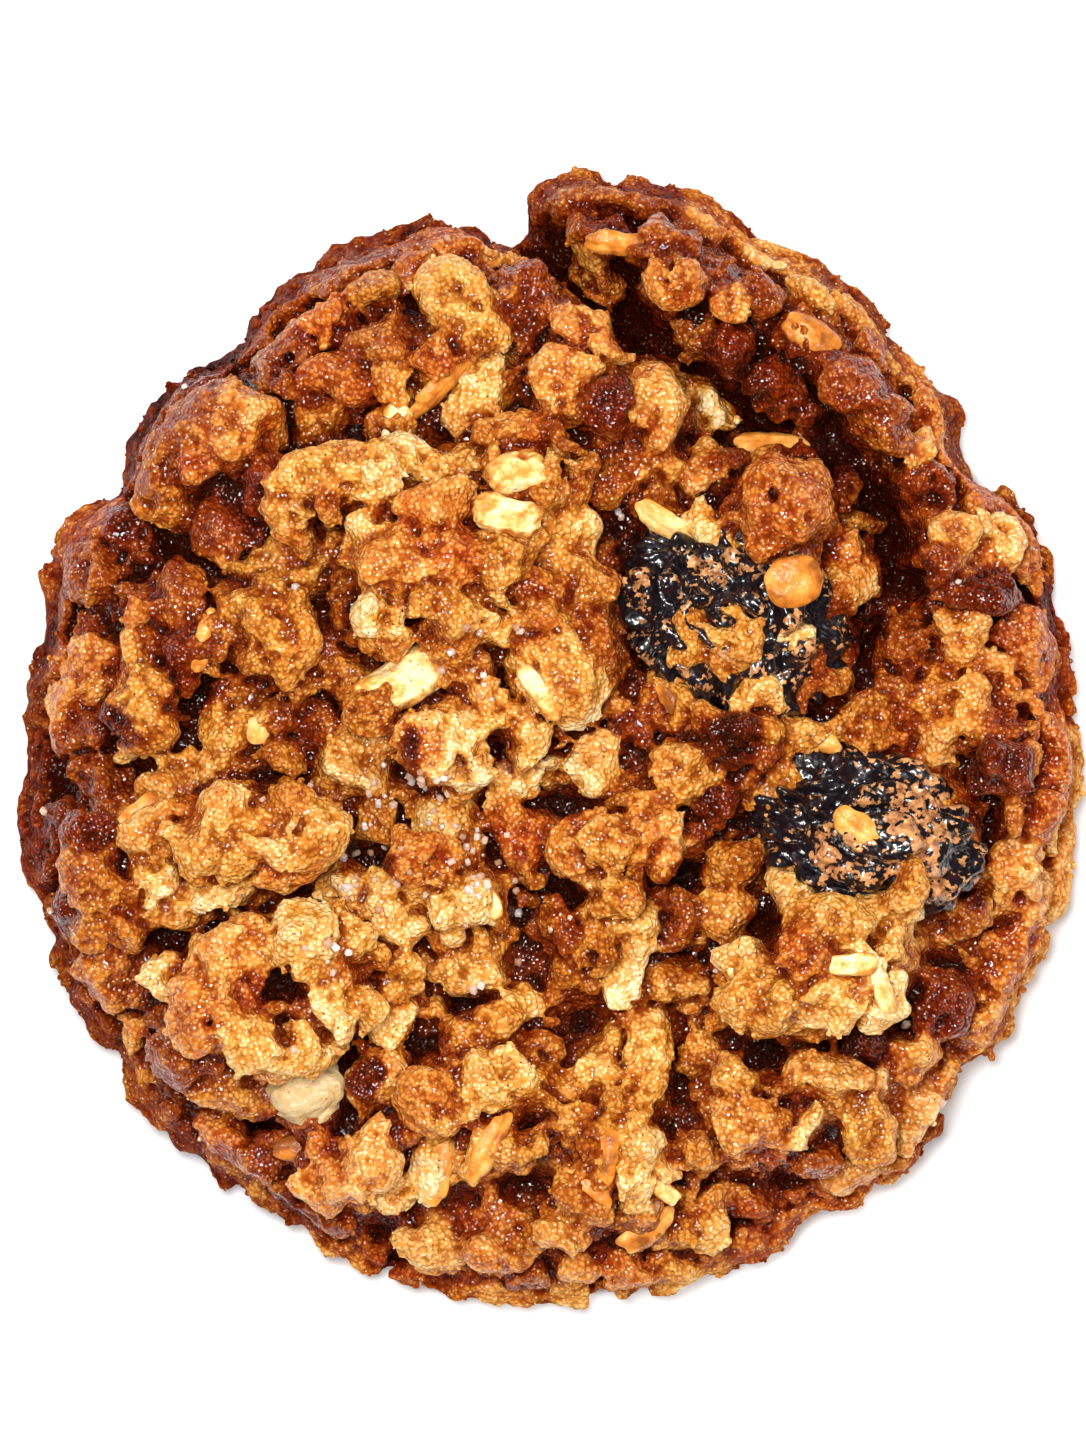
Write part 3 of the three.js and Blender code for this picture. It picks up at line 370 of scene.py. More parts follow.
# ---- holes through those crumbs: x, y, half length, half width, turn, depth ----
WELLS = [
    (-14.3, 12.7, 1.6, 1.3, 60, 5.0), (-4.9, -0.4, 1.9, 1.1, 105, 5.0), (-26.7, -24.8, 2.2, 1.1, -8, 3.0),
    (-34.2, -28.5, 0.5, 0.5, 0, 2.0), (21.6, -19.6, 1.3, 1.0, 80, 3.5), (3.0, -27.4, 1.6, 1.2, 10, 4.0),
    # the first two wells on the next line, left of raisin_1, are dark partly as painted shade of the raisin
    (8.2, 15.5, 3.2, 1.9, 95, 5.0), (7.4, 20.8, 2.2, 1.5, 60, 4.5), (2.2, -14.6, 2.2, 1.2, -10, 3.0),
]
PORES = [  # where small round holes are: x, y
    (-34.2, -28.5), (-26.3, -27.6), (-27, -27.9), (-25.5, 37.9), (-27, 36.8), (11.2, 26.9), (22, 25.6),
    (-34.2, 14.6), (-8.6, -1.8), (4.2, -21), (-6.4, -1.9), (4.4, 28.7),
]
PORE = (0.5, 0.45, 0, 1.2)  # the rest of a pore's row
HOLE_ABOVE = 3.0  # the middle of a hole's oval lies this far above the surface
HOLE_SHADE_PAINT = {"deepest": -0.3, "fade": 2.0, "wider": 0.2}  # how its wall is painted dark with painted shade and burnt syrup, edge and all

# ---- notches in the outline: x, y, how wide, how far in ----
NOTCHES = [
    (-3.5, 51, 2.4, 2.4), (-18, 51.5, 5.5, 2.2), (-33, 40, 3.8, 3.2), (-44, 27, 3.4, 2.4),
    (-51, 13, 4.5, 1.6), (-50.5, -19.6, 2, 2), (-44, -33, 3.4, 1.8), (-27, -49, 6, 1.2), (-1, -57, 5, 1.4),
    (26, -48, 2.6, 1.4), (42, -34, 2.8, 2.0), (51.5, 14.5, 2.2, 1.4), (41.5, 29, 3.6, 2.8),
    (35, 39, 5, 1.6), (20, 51, 5, 1.2), (52, -14, 4, -1.6), (14, -55, 6, -1.5), (36, -43, 3.5, -1.0),
    (-49, -24, 3, -1.4), (41, -36, 5, -0.8), (48, -22, 6, -0.6), (-28, 45, 9, 0.5), (-53, 2, 8, 0.7),
    (31, 44, 5, 0.6), (11, 57, 5, 0.6), (53, 5, 3, 0.6),
]

# ---- the clefts between the lobes: their width and depth, and the places they run through ----
CLEFTS = [
    (1.2, 6.0, [(-4.5, 50.5), (1.1, 47.4), (2.6, 44.7), (6.3, 42), (8.3, 39.8)]),
    (1.9, 5.0, [(7.6, 45.5), (8.0, 43), (8.3, 40)]),
    (1.5, 5.0, [(8.3, 39.8), (12.2, 38.8), (15.7, 36.6), (18.4, 34.4), (20.3, 32.6), (24, 32.4)]),
    (1.3, 4.0, [(27.6, 31), (30.5, 27.6), (33, 24), (34.2, 20), (35, 16.6)]),
    (1.2, 4.0, [(31.4, 14), (32, 11), (31.4, 7)]),
]
CLEFT_FLOOR = 4.0  # the clefts end this high above the underside
CLEFT_SLANT = 0.7  # how soft the edge is between their floor and their walls
CLEFT_SHADE_PAINT = {"reach": 1.2, "fade": 0.9, "weaker": 0.2}  # how far in their walls get painted shade and darker syrup, and how much

# ---- colour of the small crumbs between the others: x, y, how far it reaches, look ----
TINTS = [
    (-12, 16, 15, "tan"), (-2, 8, 9, "amber"), (-30, -12, 13, "tan"), (-28, -28, 10, "rust"),
    (-44, -16, 7, "umber"), (-12, -16, 10, "tan"), (6, -22, 12, "tan"), (6, -42, 12, "tan"),
    (-16, -40, 9, "rust"), (27, -24, 9, "tan"), (12, 0, 9, "umber"), (24, -40, 10, "rust"),
    (40, -30, 9, "amber"), (48, -12, 8, "peach"), (44, 6, 9, "rust"), (40, 24, 10, "brown"),
    (26, 42, 12, "brown"), (8, 52, 9, "brown"), (20, 36, 6, "dark"), (34, 16, 5, "dark"),
    (-14, 46, 10, "brown"), (-36, 34, 10, "dark"), (-46, 14, 8, "brown"), (-42, 2, 8, "umber"),
    (-30, 8, 8, "umber"), (-22, 34, 7, "brown"), (8, 34, 8, "copper"), (14, 24, 6, "umber"),
    (-50, -8, 6, "dark"), (-42, -30, 6, "umber"), (-47, -21, 5, "brown"), (-30, -43, 7, "brown"),
    (20, -14, 5, "umber"), (-7, -46, 6, "rust"),
]
RIM = {"from": 0.75, "most": 1.2, "drier": 0.25}  # small crumbs get drier from this share of the way out
DOUGH_REACH = 1.1  # the core counts in the looks as a crumb whose surface is this far away
DOUGH_SHIFT = (0.08, 0.15, 0.2)  # how its look differs from that of the small crumbs over it

# ---- the body of a crumb that shows as itself, and the lumps on it ----
CLUMP = {
    "lift": (-0.2, 0.6), "tip": (-12, 12), "roll": (-15, 15),  # how it may lie
    "rise": 0.85,  # its half height, as a share of its half width
    "sunk": 0.3,  # how far its middle lies below the surface, as a share of that
    "fuller": 1.06,  # its body against the sizes in its row
}
LUMPS = {
    "least": 3, "more": 0.8,  # how many: at least, and more for each half length times half width
    "out": (0.7, 0.66, 0.66),  # how far out they sit, in the body's half sizes
    "up": 0.9, "down": 0.12,  # they sit above its middle, or this little below it
    "size": (0.2, 0.42), "wider": 0.8,  # their half width, as a share of its half width and this much
    "longer": (1.0, 1.5), "flatter": (0.75, 1.0),
}

# ---- the small crumbs between the others ----
SCATTER = {
    "tries": 9000, "apart": 2.0,
    "lowest": 0.6, "down": -0.9,  # none lower than this, none where the surface faces down more
    "cover": 0.8,  # share of a named crumb's oval that hides them
    "longer": (1.0, 1.6), "flatter": 0.9,
}
SIDES_END = 8.0  # height up to which they are scattered as on the sides
ON_SIDES = {"radius": (1.3, 2.7), "lowered": 0.0, "sunk": (0.5, 1.0)}  # "sunk" is a share of their radius
ON_TOP = {"radius": (1.1, 2.3), "lowered": 0.5, "sunk": (0.35, 0.85)}

# ---- the pieces that the crumble is cut into ----
BASE_HEIGHT = 4.6  # the base ends at this height, and the sectors lie on it
SECTORS = {  # each takes what lies nearest to its x, y
    "crumble_north": (4, 40), "crumble_west": (-36, 2), "crumble_south": (-8, -38), "crumble_east": (36, -6),
}
OVERLAP = 0.9  # how far each piece reaches into its neighbours
LOWERED = 0.12  # share of the overlap by which a piece sinks below its neighbour in it
SIMPLER = 0.04  # how readily flat stretches of the surface are given larger faces
FEWEST = 400  # loose bits of the surface with fewer points are dropped
SURROUNDINGS = {"crease": (0.9, 0.6), "hollow": (4.0, 2.4)}  # blurs that tell how enclosed a place is

# ---- the raisins ----
RAISIN_DETAIL = 6  # how often the ball that a raisin is shaped from is divided
RAISIN_SUNK = 1.9  # how far the bottoms of its folds lie inside the oval
SWAY_TILE = (48, 8.0)  # the noise that its folds wind along: cells, length of its waves
SWAY = {  # how fine it is, how far apart its three axes are read, how much it lifts and bends the folds
    "fine": 0.5, "apart": 17, "lifts": 0.5, "bends": 0.9,
}
FOLDS = [
    # squeeze along the raisin, how fine, how high
    (0.40, 0.95, 1.7), (0.6, 2.0, 0.45), (0.8, 3.6, 0.08),
]
FOLD_TILE = (48, 4.0)  # the noise of the folds, and of what makes the apple uneven
FOLDS_APART = 9  # how far apart in that tile the folds are read
FOLD_LIMITS = (0.2, 1.3)  # how round the bottom of a fold is, and how high its noise may go
STUCK = {"on_folds": 0.13, "level": -0.33}  # how much crumb sticks to the folds, and everywhere
RAISINS = {
    # seed, how far it is moved and turned and its size against the CAD part's, and where crumb is stuck
    # to it: along, across, reach, how much
    "raisin_1": (301, (-0.5, 0.7, 0.0), 0, 1.03,
                 [(-4, 4.5, 2.6, 0.35), (6, -3, 2.6, 0.4), (-1, 6.5, 2.0, 0.2), (3, 1, 2.0, 0.1)]),
    "raisin_2": (311, (-1.2, 0.4, 0.0), -9, 0.94,
                 [(5.5, 3.6, 3.0, 0.75), (6, -3.5, 2.8, 0.7), (-2.5, -2.5, 2.4, 0.5)]),
}

# ---- the apple ----
APPLE_DETAIL = 5
APPLE_BIT_DETAIL = 4
APPLE_NOISE = {  # how fine each is, and which part of the tile it reads
    "uneven": (0.8, 0), "nicks": (2.6, 11), "bites": (1.3, 23), "fibres": ((0.6, 2.8, 2.8), 5),
}
APPLE_RIM = 0.7  # the rim starts at this share of the way out
BITE_LEVEL = -0.5  # where the noise of the bites goes below this, there is a bite
RAGGED = {"uneven": 0.06, "nicks": 0.11, "bites": 0.07}  # how much each moves the surface in or out
FIBRES = 0.16  # how high the fibres stand
STAINED = {"rim": 1.1, "uneven": 0.2, "bites": -0.3}  # how much each stains it; bites count below 0
PLAIN_APPLE = {"ragged": 1.0, "dull": 0.0, "smaller": 1.0, "moved": (0, 0, 0), "square": 3.6}
APPLES = {  # what is different in some of the pieces
    "apple_1": {"smaller": 0.88, "moved": (-0.6, -1.7, 0.3)},
    "apple_2": {"smaller": 0.86, "moved": (-0.1, 0.2, 0.2)},
    # apple_4 lies in shade: it is painted darker and greyer
    "apple_4": {"ragged": 0.8, "dull": 0.8, "smaller": 0.8, "moved": (-1.3, 1.1, -0.7), "square": 2.3},
}

# ---- the small things ----
GRAINS = {
    "count": 2000, "detail": 1, "smallest": 0.15, "largest": 0.42, "lowest": 1.0,
    "shape": (0.75, 1.3), "out": 0.15,  # its middle lies out of the surface by this share of its size
    "crease": 0.1, "hollow": 0.12,  # none lie deeper than this in a crease or a hollow
    "shift": {"toast_and_shade": 0.05, "blush": 0.12, "wet": 0.1, "crease": 0.0, "hollow": 0.0},
}
FLAKE = {
    "detail": 4, "thick": 0.42, "square": 2.4,  # half its thickness, and how far from an ellipse it is
    "tile": (36, 3.0),  # the noise in it: cells, length of its waves
    "ragged": 0.07, "rough": 0.05, "patchy": 0.12,  # how much that noise does to its rim, face and colour
    "rim_fine": 1.6, "face_fine": 3,  # and how fine it is there
    "curled_along": 0.35, "curled_across": 0.45,
    "crease": 0.16, "crease_width": 0.16,
}
CRYSTAL = {  # half its size, how much its sides and its faces differ, how far out of the surface it is
    "detail": 2, "square": 7, "half": (0.2, 0.42), "shape": (0.75, 1.25), "worn": (0.94, 1.06), "out": 0.5,
}
EXPOSED = {"up": 0.35, "lowest": 10}  # crystals lie where it faces up this much, above this height

# ---- bits of apple: x, y, lift, half sizes, turn, tip ----
APPLE_BITS = [
    (-0.9, 5.2, 3.0, (3.1, 1.2, 1.0), -50, 6), (-6.1, -15.4, 0.6, (1.9, 1.0, 0.9), -66, 10),
    (29.8, -21.8, 0.6, (2.6, 1.1, 1.0), 6, -8), (32.8, -24.2, 0.5, (2.4, 1.0, 0.9), -72, 8),
    (18.6, -21.4, 0.3, (1.9, 1.6, 1.0), 30, 0), (11.3, -44.4, 0.5, (1.7, 0.9, 0.8), -40, 12),
    (-15.4, 31.8, 0.2, (2.2, 1.5, 1.0), 80, 0),
]

# ---- oat flakes: x, y, lift, half length, half width, turn, tip, roll, how dark ----
FLAKES = [
    (22, 30.1, 1.6, 4.1, 1.7, -3, 0, -42, 0.5), (11.3, 21.7, 1.5, 3.5, 1.6, -32, 4, 40, 0.15),
    (-10.7, 35.7, 1.3, 4.7, 1.5, 47, -6, 48, 0.7), (30.2, -8.2, 1.5, 2.7, 1.6, -36, 0, 12, 0.35),
    (26.1, 40.9, 0.6, 3.1, 1.7, -32, 0, -20, 0.8), (6.8, 49.6, 1.2, 3.5, 1.4, -4, 6, 35, 0.7),
    (27.2, 0.2, 1.2, 2.0, 1.0, -24, 0, 10, 0.3), (9.6, -48.5, 0.9, 3.1, 1.5, 40, 0, 20, 0.45),
    (13.0, 3.8, 1.0, 4.2, 1.8, -56, 0, 16, 0.85), (-34.1, 10.4, 1.0, 3.4, 1.4, 68, 0, 25, 0.55),
    (5.2, -40.8, 0.8, 3.0, 1.4, 84, 0, -20, 0.65), (-6.0, -40.0, 0.9, 3.8, 1.4, 62, 0, 24, 0.6),
    (-11.4, -41.6, 0.9, 4.4, 1.7, 84, 0, -15, 0.55), (24.2, 16.2, 5.2, 2.9, 2.6, 20, 4, 6, 0.7),
    (-40.6, -7.0, 0.8, 2.8, 1.5, 36, 0, 15, 0.5), (-24.4, -39.9, 0.6, 3.2, 1.4, 8, 0, -15, 0.95),
    (3.2, -44.6, 0.9, 3.2, 1.8, -34, 0, 12, 0.7), (-29, 1.6, 0.7, 1.7, 1.2, 82, 0, 10, 0.1),
]

# ---- sugar crystals: x, y, how far they are spread, how many ----
SUGAR_SPOTS = [
    (-13.2, -3.6, 0.7, 7), (-10.4, -5.4, 1.2, 9), (-8, -10, 1.6, 12), (-12.6, -12.8, 1.8, 6),
    (-6.6, -12.8, 1.6, 9), (-15, -6, 1.8, 5), (-19.6, -12.6, 1.6, 8), (-21, -21.6, 1.4, 7),
    (-25.4, 15.9, 0.3, 2), (-7.2, -24.2, 0.3, 2), (16.4, -22.9, 0.3, 1), (-5.6, -45.8, 0.4, 2),
    (-3.2, 11.6, 0.4, 2), (-8, 7, 2.6, 10), (-22, -6, 2, 4), (-18, -10, 3, 5), (-3, -18, 2.5, 5),
    (0, 0, 40, 16),
]

# ---- the stage: places and sizes of the lights in metres, and their power in watts ----
LIGHTS = {
    "key": ((-0.06, 0.07, 0.62), 0.22, 4.5),
    "fill_0": ((0.42, -0.12, 0.46), 0.18, 1.75),
    "fill_1": ((-0.38, -0.26, 0.46), 0.18, 1.75),
    "fill_2": ((0.06, 0.50, 0.40), 0.18, 1.75),
}
WORLD_LIGHT = 0.04
FLOOR = {"size": 6.0, "grey": 0.93, "roughness": 0.8}  # size in metres
SENSOR = 36.0  # height of the camera's sensor
FURTHEST = 20.0  # how far it sees, in metres
# how far away the camera is, the height of what it sees and the place it looks at
SHOT = {"distance": 2400.0, "height": 144.8, "aim": (-0.8, 2.05, 4.2)}


def turned(turn, tip=0.0, roll=0.0):
    """The rotation matrix of a turn about Z, after a tip about Y and a roll about X."""
    return np.array(Euler([math.radians(a) for a in (roll, tip, turn)]).to_matrix(), np.float32)


def any_turn(rng):
    """A rotation matrix at random."""
    return turned(*rng.uniform(-180, 180, 3))


def length(vector):
    """The length of vectors that are given as their x, y and z."""
    return np.sqrt(sum(v**2 for v in vector))


# ---- repeatable noise ----
def noise_tile(cells, wavelength, seed, narrow=0.45):
    """A cube of smooth noise that repeats, of spread 1, with waves about that many mm long."""
    waves = np.fft.fftfreq(cells, STEP)
    frequency = length(np.meshgrid(waves, waves, waves, indexing="ij")) * wavelength
    band = np.exp(-(((frequency - 1.0) / narrow) ** 2))
    white = np.random.default_rng(seed).standard_normal((cells,) * 3)
    tile = np.fft.ifftn(np.fft.fftn(white) * band).real
    return (tile / tile.std()).astype(np.float32)


def bubble_tile(cells, across, seed):
    """A cube that repeats: 1 at the middle of each of many packed bubbles, down to 0 between them."""
    count = max(3, round(cells * STEP / across))
    middles = np.random.default_rng(seed).random((count, count, count, 3)) * 0.9 + 0.05
    axis = (np.arange(cells) + 0.5) / (cells / count)
    place = np.meshgrid(axis, axis, axis, indexing="ij")
    box = [np.floor(v).astype(int) for v in place]
    nearest = np.full((cells,) * 3, np.inf)
    for beside in np.ndindex(3, 3, 3):
        there = [b + d - 1 for b, d in zip(box, beside)]
        middle = middles[tuple(t % count for t in there)]
        away = sum((middle[..., i] + there[i] - place[i]) ** 2 for i in range(3))
        nearest = np.minimum(nearest, away)
    return np.clip(1 - nearest, 0, 1).astype(np.float32)


def spread(tile, shape):
    """The tile repeated over a block of that shape."""
    for axis, count in enumerate(shape):
        tile = np.take(tile, np.arange(count) % tile.shape[axis], axis=axis)
    return tile


def blended(block, places, kind=np.float64):
    """The values of a repeating block at places given in its own cells, from the eight nearest of them."""
    base = np.floor(places).astype(int)
    share = (places - base).astype(kind)
    total = np.zeros(len(places), kind)
    for corner in np.ndindex(2, 2, 2):
        weight = np.prod(np.where(corner, share, 1 - share), axis=1)
        total += weight * block[tuple(((base + corner) % block.shape).T)]
    return total


def box_blur(block, radius):
    """The mean over a cube of that radius in mm, by running sums along each axis."""
    reach = max(1, round(radius / STEP))
    for axis in range(block.ndim):
        padding = [(0, 0)] * block.ndim
        padding[axis] = (reach + 1, reach)
        sums = np.cumsum(np.pad(block, padding, mode="edge"), axis=axis, dtype=np.float32)
        ahead = np.take(sums, np.arange(2 * reach + 1, sums.shape[axis]), axis=axis)
        behind = np.take(sums, np.arange(0, sums.shape[axis] - 2 * reach - 1), axis=axis)
        block = (ahead - behind) / (2 * reach + 1)
    return block


def soft_min(a, b, width):
    """The lower of two, with a rounded valley where they cross."""
    near = np.maximum(width - np.abs(a - b), 0) / width
    return np.minimum(a, b) - near * near * width * 0.25


# ---- the field ----
class Field:
    """Distances to the crumble's surface on a grid, and the looks of the crumbs near each place."""

    def __init__(self):
        low = np.array(CAD_BOX[0]) / MM - ROOM
        high = np.array(CAD_BOX[1]) / MM + ROOM
        self.first = np.floor(low / STEP).astype(int)
        self.shape = tuple(int(n) for n in np.ceil(high / STEP).astype(int) - self.first)
        self.axes = [((np.arange(n) + f) * STEP).astype(np.float32) for n, f in zip(self.shape, self.first)]
        self.distance = np.full(self.shape, BAND, np.float32)
        self.weight = np.full(self.shape, 1e-6, np.float32)
        self.looks = np.zeros((len(LOOK_NAMES),) + self.shape, np.float32)
        self.bent = np.meshgrid(*self.axes, indexing="ij", sparse=True)
        for cells, wavelength, far, seeds in BENDS:
            waves = [spread(noise_tile(cells, wavelength, seed), self.shape) for seed in seeds]
            self.bent = [place + far * wave for place, wave in zip(self.bent, waves)]

    def bent_place(self, x, y, z):
        """Where a place lies in the bent coordinates."""
        i, j, k = (int(round(c / STEP)) - f for c, f in zip((x, y, z), self.first))
        return np.array([float(b[i, j, k]) for b in self.bent], np.float32)

    def window(self, centre, reach):
        """The slices of the grid within reach of a place."""
        slices = []
        for c, r, f, n in zip(centre, reach, self.first, self.shape):
            start = max(0, int((c - r) / STEP) - f)
            slices.append(slice(start, min(n, int((c + r) / STEP) - f + 2)))
        return tuple(slices)

    def in_oval(self, window, centre, half, rotation):
        """Where the window's bent places lie along an oval's axes, in shares of its half sizes."""
        x, y, z = (bent[window] - c for bent, c in zip(self.bent, centre))
        return [(rotation[0, i] * x + rotation[1, i] * y + rotation[2, i] * z) / half[i] for i in range(3)]

    def paint(self, window, distance, look):
        """Adds the look of something at that distance to the looks in the window."""
        weight = np.exp(-np.clip(distance, *PAINT_RANGE) / PAINT_REACH)
        self.weight[window] += weight
        for layer, value in zip(self.looks, look):
            layer[window] += weight * value

    def carve(self, window, wall, edge=GAP_EDGE):
        """Cuts a hole, given as the distance to its wall, out of the crumble."""
        self.distance[window] = -soft_min(-self.distance[window], wall, edge)

    def sample(self, block, points):
        """The block's values at points in mm."""
        return blended(block, points / STEP - self.first, np.float32)


def read(source, name, width=1, kind=np.float32):
    """A value of each item in one of a mesh's lists, in rows where it has more than one number."""
    values = np.empty(len(source) * width, kind)
    source.foreach_get(name, values)
    return values.reshape(-1, width) if width > 1 else values


def mesh_arrays(mesh):
    """A mesh's points in mm and its triangles."""
    mesh.calc_loop_triangles()
    return read(mesh.vertices, "co", 3) / MM, read(mesh.loop_triangles, "vertices", 3, np.int32)


def cad_distance(field, node):
    """Distance to a CAD node's surface, below 0 inside."""
    points, triangles = mesh_arrays(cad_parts[node].data)
    transform = openvdb.createLinearTransform(voxelSize=STEP)
    level = openvdb.FloatGrid.createLevelSetFromPolygons(
        points.astype(np.float32), triangles=triangles, transform=transform, halfWidth=BAND / STEP)
    block = np.empty(field.shape, np.float32)
    level.copyToArray(block, ijk=tuple(int(f) for f in field.first))
    return block


def top_heights(field, block):
    """Height of the highest surface over each place on the ground."""
    inside = block < 0
    top = field.shape[2] - 1 - np.argmax(inside[:, :, ::-1], axis=2)
    i, j = np.indices(top.shape)
    below = block[i, j, top]
    above = block[i, j, np.minimum(top + 1, field.shape[2] - 1)]
    part = np.clip(-below / np.maximum(above - below, 1e-3), 0, 1)
    return np.where(inside.any(axis=2), field.axes[2][top] + part * STEP, 0).astype(np.float32)


def height_at(field, heights, x, y):
    """The height of the CAD's top at a place."""
    i = int(round(x / STEP)) - field.first[0]
    j = int(round(y / STEP)) - field.first[1]
    return float(heights[np.clip(i, 0, field.shape[0] - 1), np.clip(j, 0, field.shape[1] - 1)])


def notch(x, y):
    """How far inside the CAD's outline the cookie's edge lies near a place."""
    return sum(far * np.exp(-((x - nx) ** 2 + (y - ny) ** 2) / wide**2) for nx, ny, wide, far in NOTCHES)


def lay_core(field):
    """The dough under the crumbs. Returns the height of the CAD's top over each place."""
    cookie = cad_distance(field, "cookie")
    whole = cookie
    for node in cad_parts:
        if node != "cookie":
            whole = np.minimum(whole, cad_distance(field, node))
    heights = top_heights(field, whole)
    x, y, z = np.meshgrid(*field.axes, indexing="ij", sparse=True)
    half = np.array(CAD_BOX[1] - CAD_BOX[0]) / MM / 2 * FILL_SHARE
    inner = (np.sqrt((x / half[0]) ** 2 + (y / half[1]) ** 2) - 1) * half[0]
    fill = np.maximum(z - (box_blur(heights, FILL_EVEN) - FILL_DEPTH)[:, :, None], inner)
    field.distance = np.minimum(cookie + CORE_DEPTH + notch(x, y), fill)
    proud = np.interp(field.axes[2], list(PROUD), list(PROUD.values()))
    field.proud = whole + notch(x, y) - proud.astype(np.float32)
    field.paint(..., DOUGH_REACH, [value + shift for value, shift in zip(tint(x, y), DOUGH_SHIFT)])
    return heights


# ---- the crumbs ----
def stamp(field, centre, half, rotation, look, join=JOIN):
    """Joins one crumb, an egg shape, to the field."""
    window = field.window(centre, np.abs(rotation) @ half + STAMP_REACH)
    scaled = field.in_oval(window, centre, half, rotation)
    out = length(scaled)
    slope = length([s / h for s, h in zip(scaled, half)])
    distance = out * (out - 1) / np.maximum(slope, 1e-4)
    field.distance[window] = soft_min(field.distance[window], distance, join)
    field.paint(window, distance, look)


def shifted(look, kind, rng):
    """A look moved a little at random."""
    return [value + rng.normal(0, amount) for value, amount in zip(look, SHIFTS[kind])]


def stamp_clump(field, x, y, z, along, across, turn, look, rng, join):
    """A crumb that shows as itself: one body with smaller lumps grown round it."""
    rise = min(along, across) * CLUMP["rise"]
    z += rng.uniform(*CLUMP["lift"])
    body = turned(turn, rng.uniform(*CLUMP["tip"]), rng.uniform(*CLUMP["roll"]))
    centre = np.array([x, y, z - CLUMP["sunk"] * rise], np.float32)
    half = np.array([along * CLUMP["fuller"], across * CLUMP["fuller"], rise], np.float32)
    stamp(field, centre, half, body, look, join)
    out = np.multiply(LUMPS["out"], (along, across, rise))
    for _ in range(int(LUMPS["least"] + along * across * LUMPS["more"])):
        direction = rng.standard_normal(3)
        direction /= np.linalg.norm(direction)
        direction[2] = abs(direction[2]) * LUMPS["up"] - LUMPS["down"]
        spot = centre + body @ (direction * out).astype(np.float32)
        radius = rng.uniform(*LUMPS["size"]) * (across + LUMPS["wider"])
        longer, flatter = rng.uniform(*LUMPS["longer"]), rng.uniform(*LUMPS["flatter"])
        lump = np.array([radius * longer, radius, radius * flatter], np.float32)
        stamp(field, spot, lump, any_turn(rng), shifted(look, "lump on one", rng), join)


def stamp_crumbs(field, heights):
    """The crumbs that show as themselves."""
    rng = np.random.default_rng(SEEDS["crumbs"])
    for area, rows in CRUMBS.items():
        for x, y, along, across, turn, name in rows:
            z = FOOT_HEIGHT if area == FOOT else height_at(field, heights, x, y)
            look = shifted(LOOKS[name], "named crumb", rng)
            stamp_clump(field, x, y, z, along, across, turn, look, rng, FUSED.get(area, CRISP))


def surface_points(node, count, rng):
    """Points spread evenly over a CAD node's surface, with the directions that face out there."""
    points, triangles = mesh_arrays(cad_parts[node].data)
    a, b, c = (points[triangles[:, i]] for i in range(3))
    normal = np.cross(b - a, c - a)
    area = np.linalg.norm(normal, axis=1)
    pick = rng.choice(len(area), count, p=area / area.sum())
    u, v = rng.random((2, count, 1))
    flip = u + v > 1
    u, v = np.where(flip, 1 - u, u), np.where(flip, 1 - v, v)
    spots = a[pick] + u * (b - a)[pick] + v * (c - a)[pick]
    return spots, normal[pick] / np.maximum(area[pick], 1e-9)[:, None]


def thinned(spots, apart):
    """Which of the spots to keep so that no two lie closer than that."""
    kept = []
    for i, spot in enumerate(spots):
        if not kept or np.min(np.sum((spots[kept] - spot) ** 2, axis=1)) > apart**2:
            kept.append(i)
    return kept


def tint(x, y):
    """The look of the small crumbs at a place, or over a sheet of places."""
    totals, weights = (0, 0, 0), 1e-9
    for tx, ty, reach, name in TINTS:
        weight = np.exp(-((x - tx) ** 2 + (y - ty) ** 2) / reach**2)
        totals = [total + weight * value for total, value in zip(totals, LOOKS[name])]
        weights = weights + weight
    toast_and_shade, blush, wet = (total / weights for total in totals)
    edge_x, edge_y, _ = np.array(CAD_BOX[1]) / MM
    rim = np.clip((np.hypot(x / edge_x, y / edge_y) - RIM["from"]) / (1 - RIM["from"]), 0, RIM["most"])
    return toast_and_shade, blush, wet - RIM["drier"] * rim


def flat_oval(x, y, row, wider=0.0):
    """How far out places lie in the oval of a crumb or hollow, squared: 1 at its edge."""
    cx, cy, along, across, turn = row[:5]
    c, s = math.cos(math.radians(turn)), math.sin(math.radians(turn))
    u = ((x - cx) * c + (y - cy) * s) / (along + wider)
    v = ((y - cy) * c - (x - cx) * s) / (across + wider)
    return u * u + v * v


def covered(x, y):
    """Whether one of the named crumbs lies over a place."""
    rows = (row for area, crumbs in CRUMBS.items() if area != FOOT for row in crumbs)
    return any(flat_oval(x, y, row) < SCATTER["cover"] for row in rows)


def scatter_crumbs(field):
    """Small crumbs all over the top and the sides, between the named ones."""
    rng = np.random.default_rng(SEEDS["scatter"])
    spots, normals = surface_points("cookie", SCATTER["tries"], rng)
    fit = (spots[:, 2] > SCATTER["lowest"]) & (normals[:, 2] > SCATTER["down"])
    spots, normals = spots[fit], normals[fit]
    for i in thinned(spots, SCATTER["apart"]):
        x, y, z = spots[i]
        if z > SIDES_END and covered(x, y):
            continue
        kind = ON_TOP if z > SIDES_END else ON_SIDES
        radius = rng.uniform(*kind["radius"])
        longer = rng.uniform(*SCATTER["longer"])
        half = np.array([radius * longer, radius, radius * SCATTER["flatter"]], np.float32)
        sunk = kind["lowered"] + radius * rng.uniform(*kind["sunk"])
        centre = spots[i] - normals[i] * (sunk + notch(x, y))
        stamp(field, centre, half, any_turn(rng), shifted(tint(x, y), "small crumb", rng))


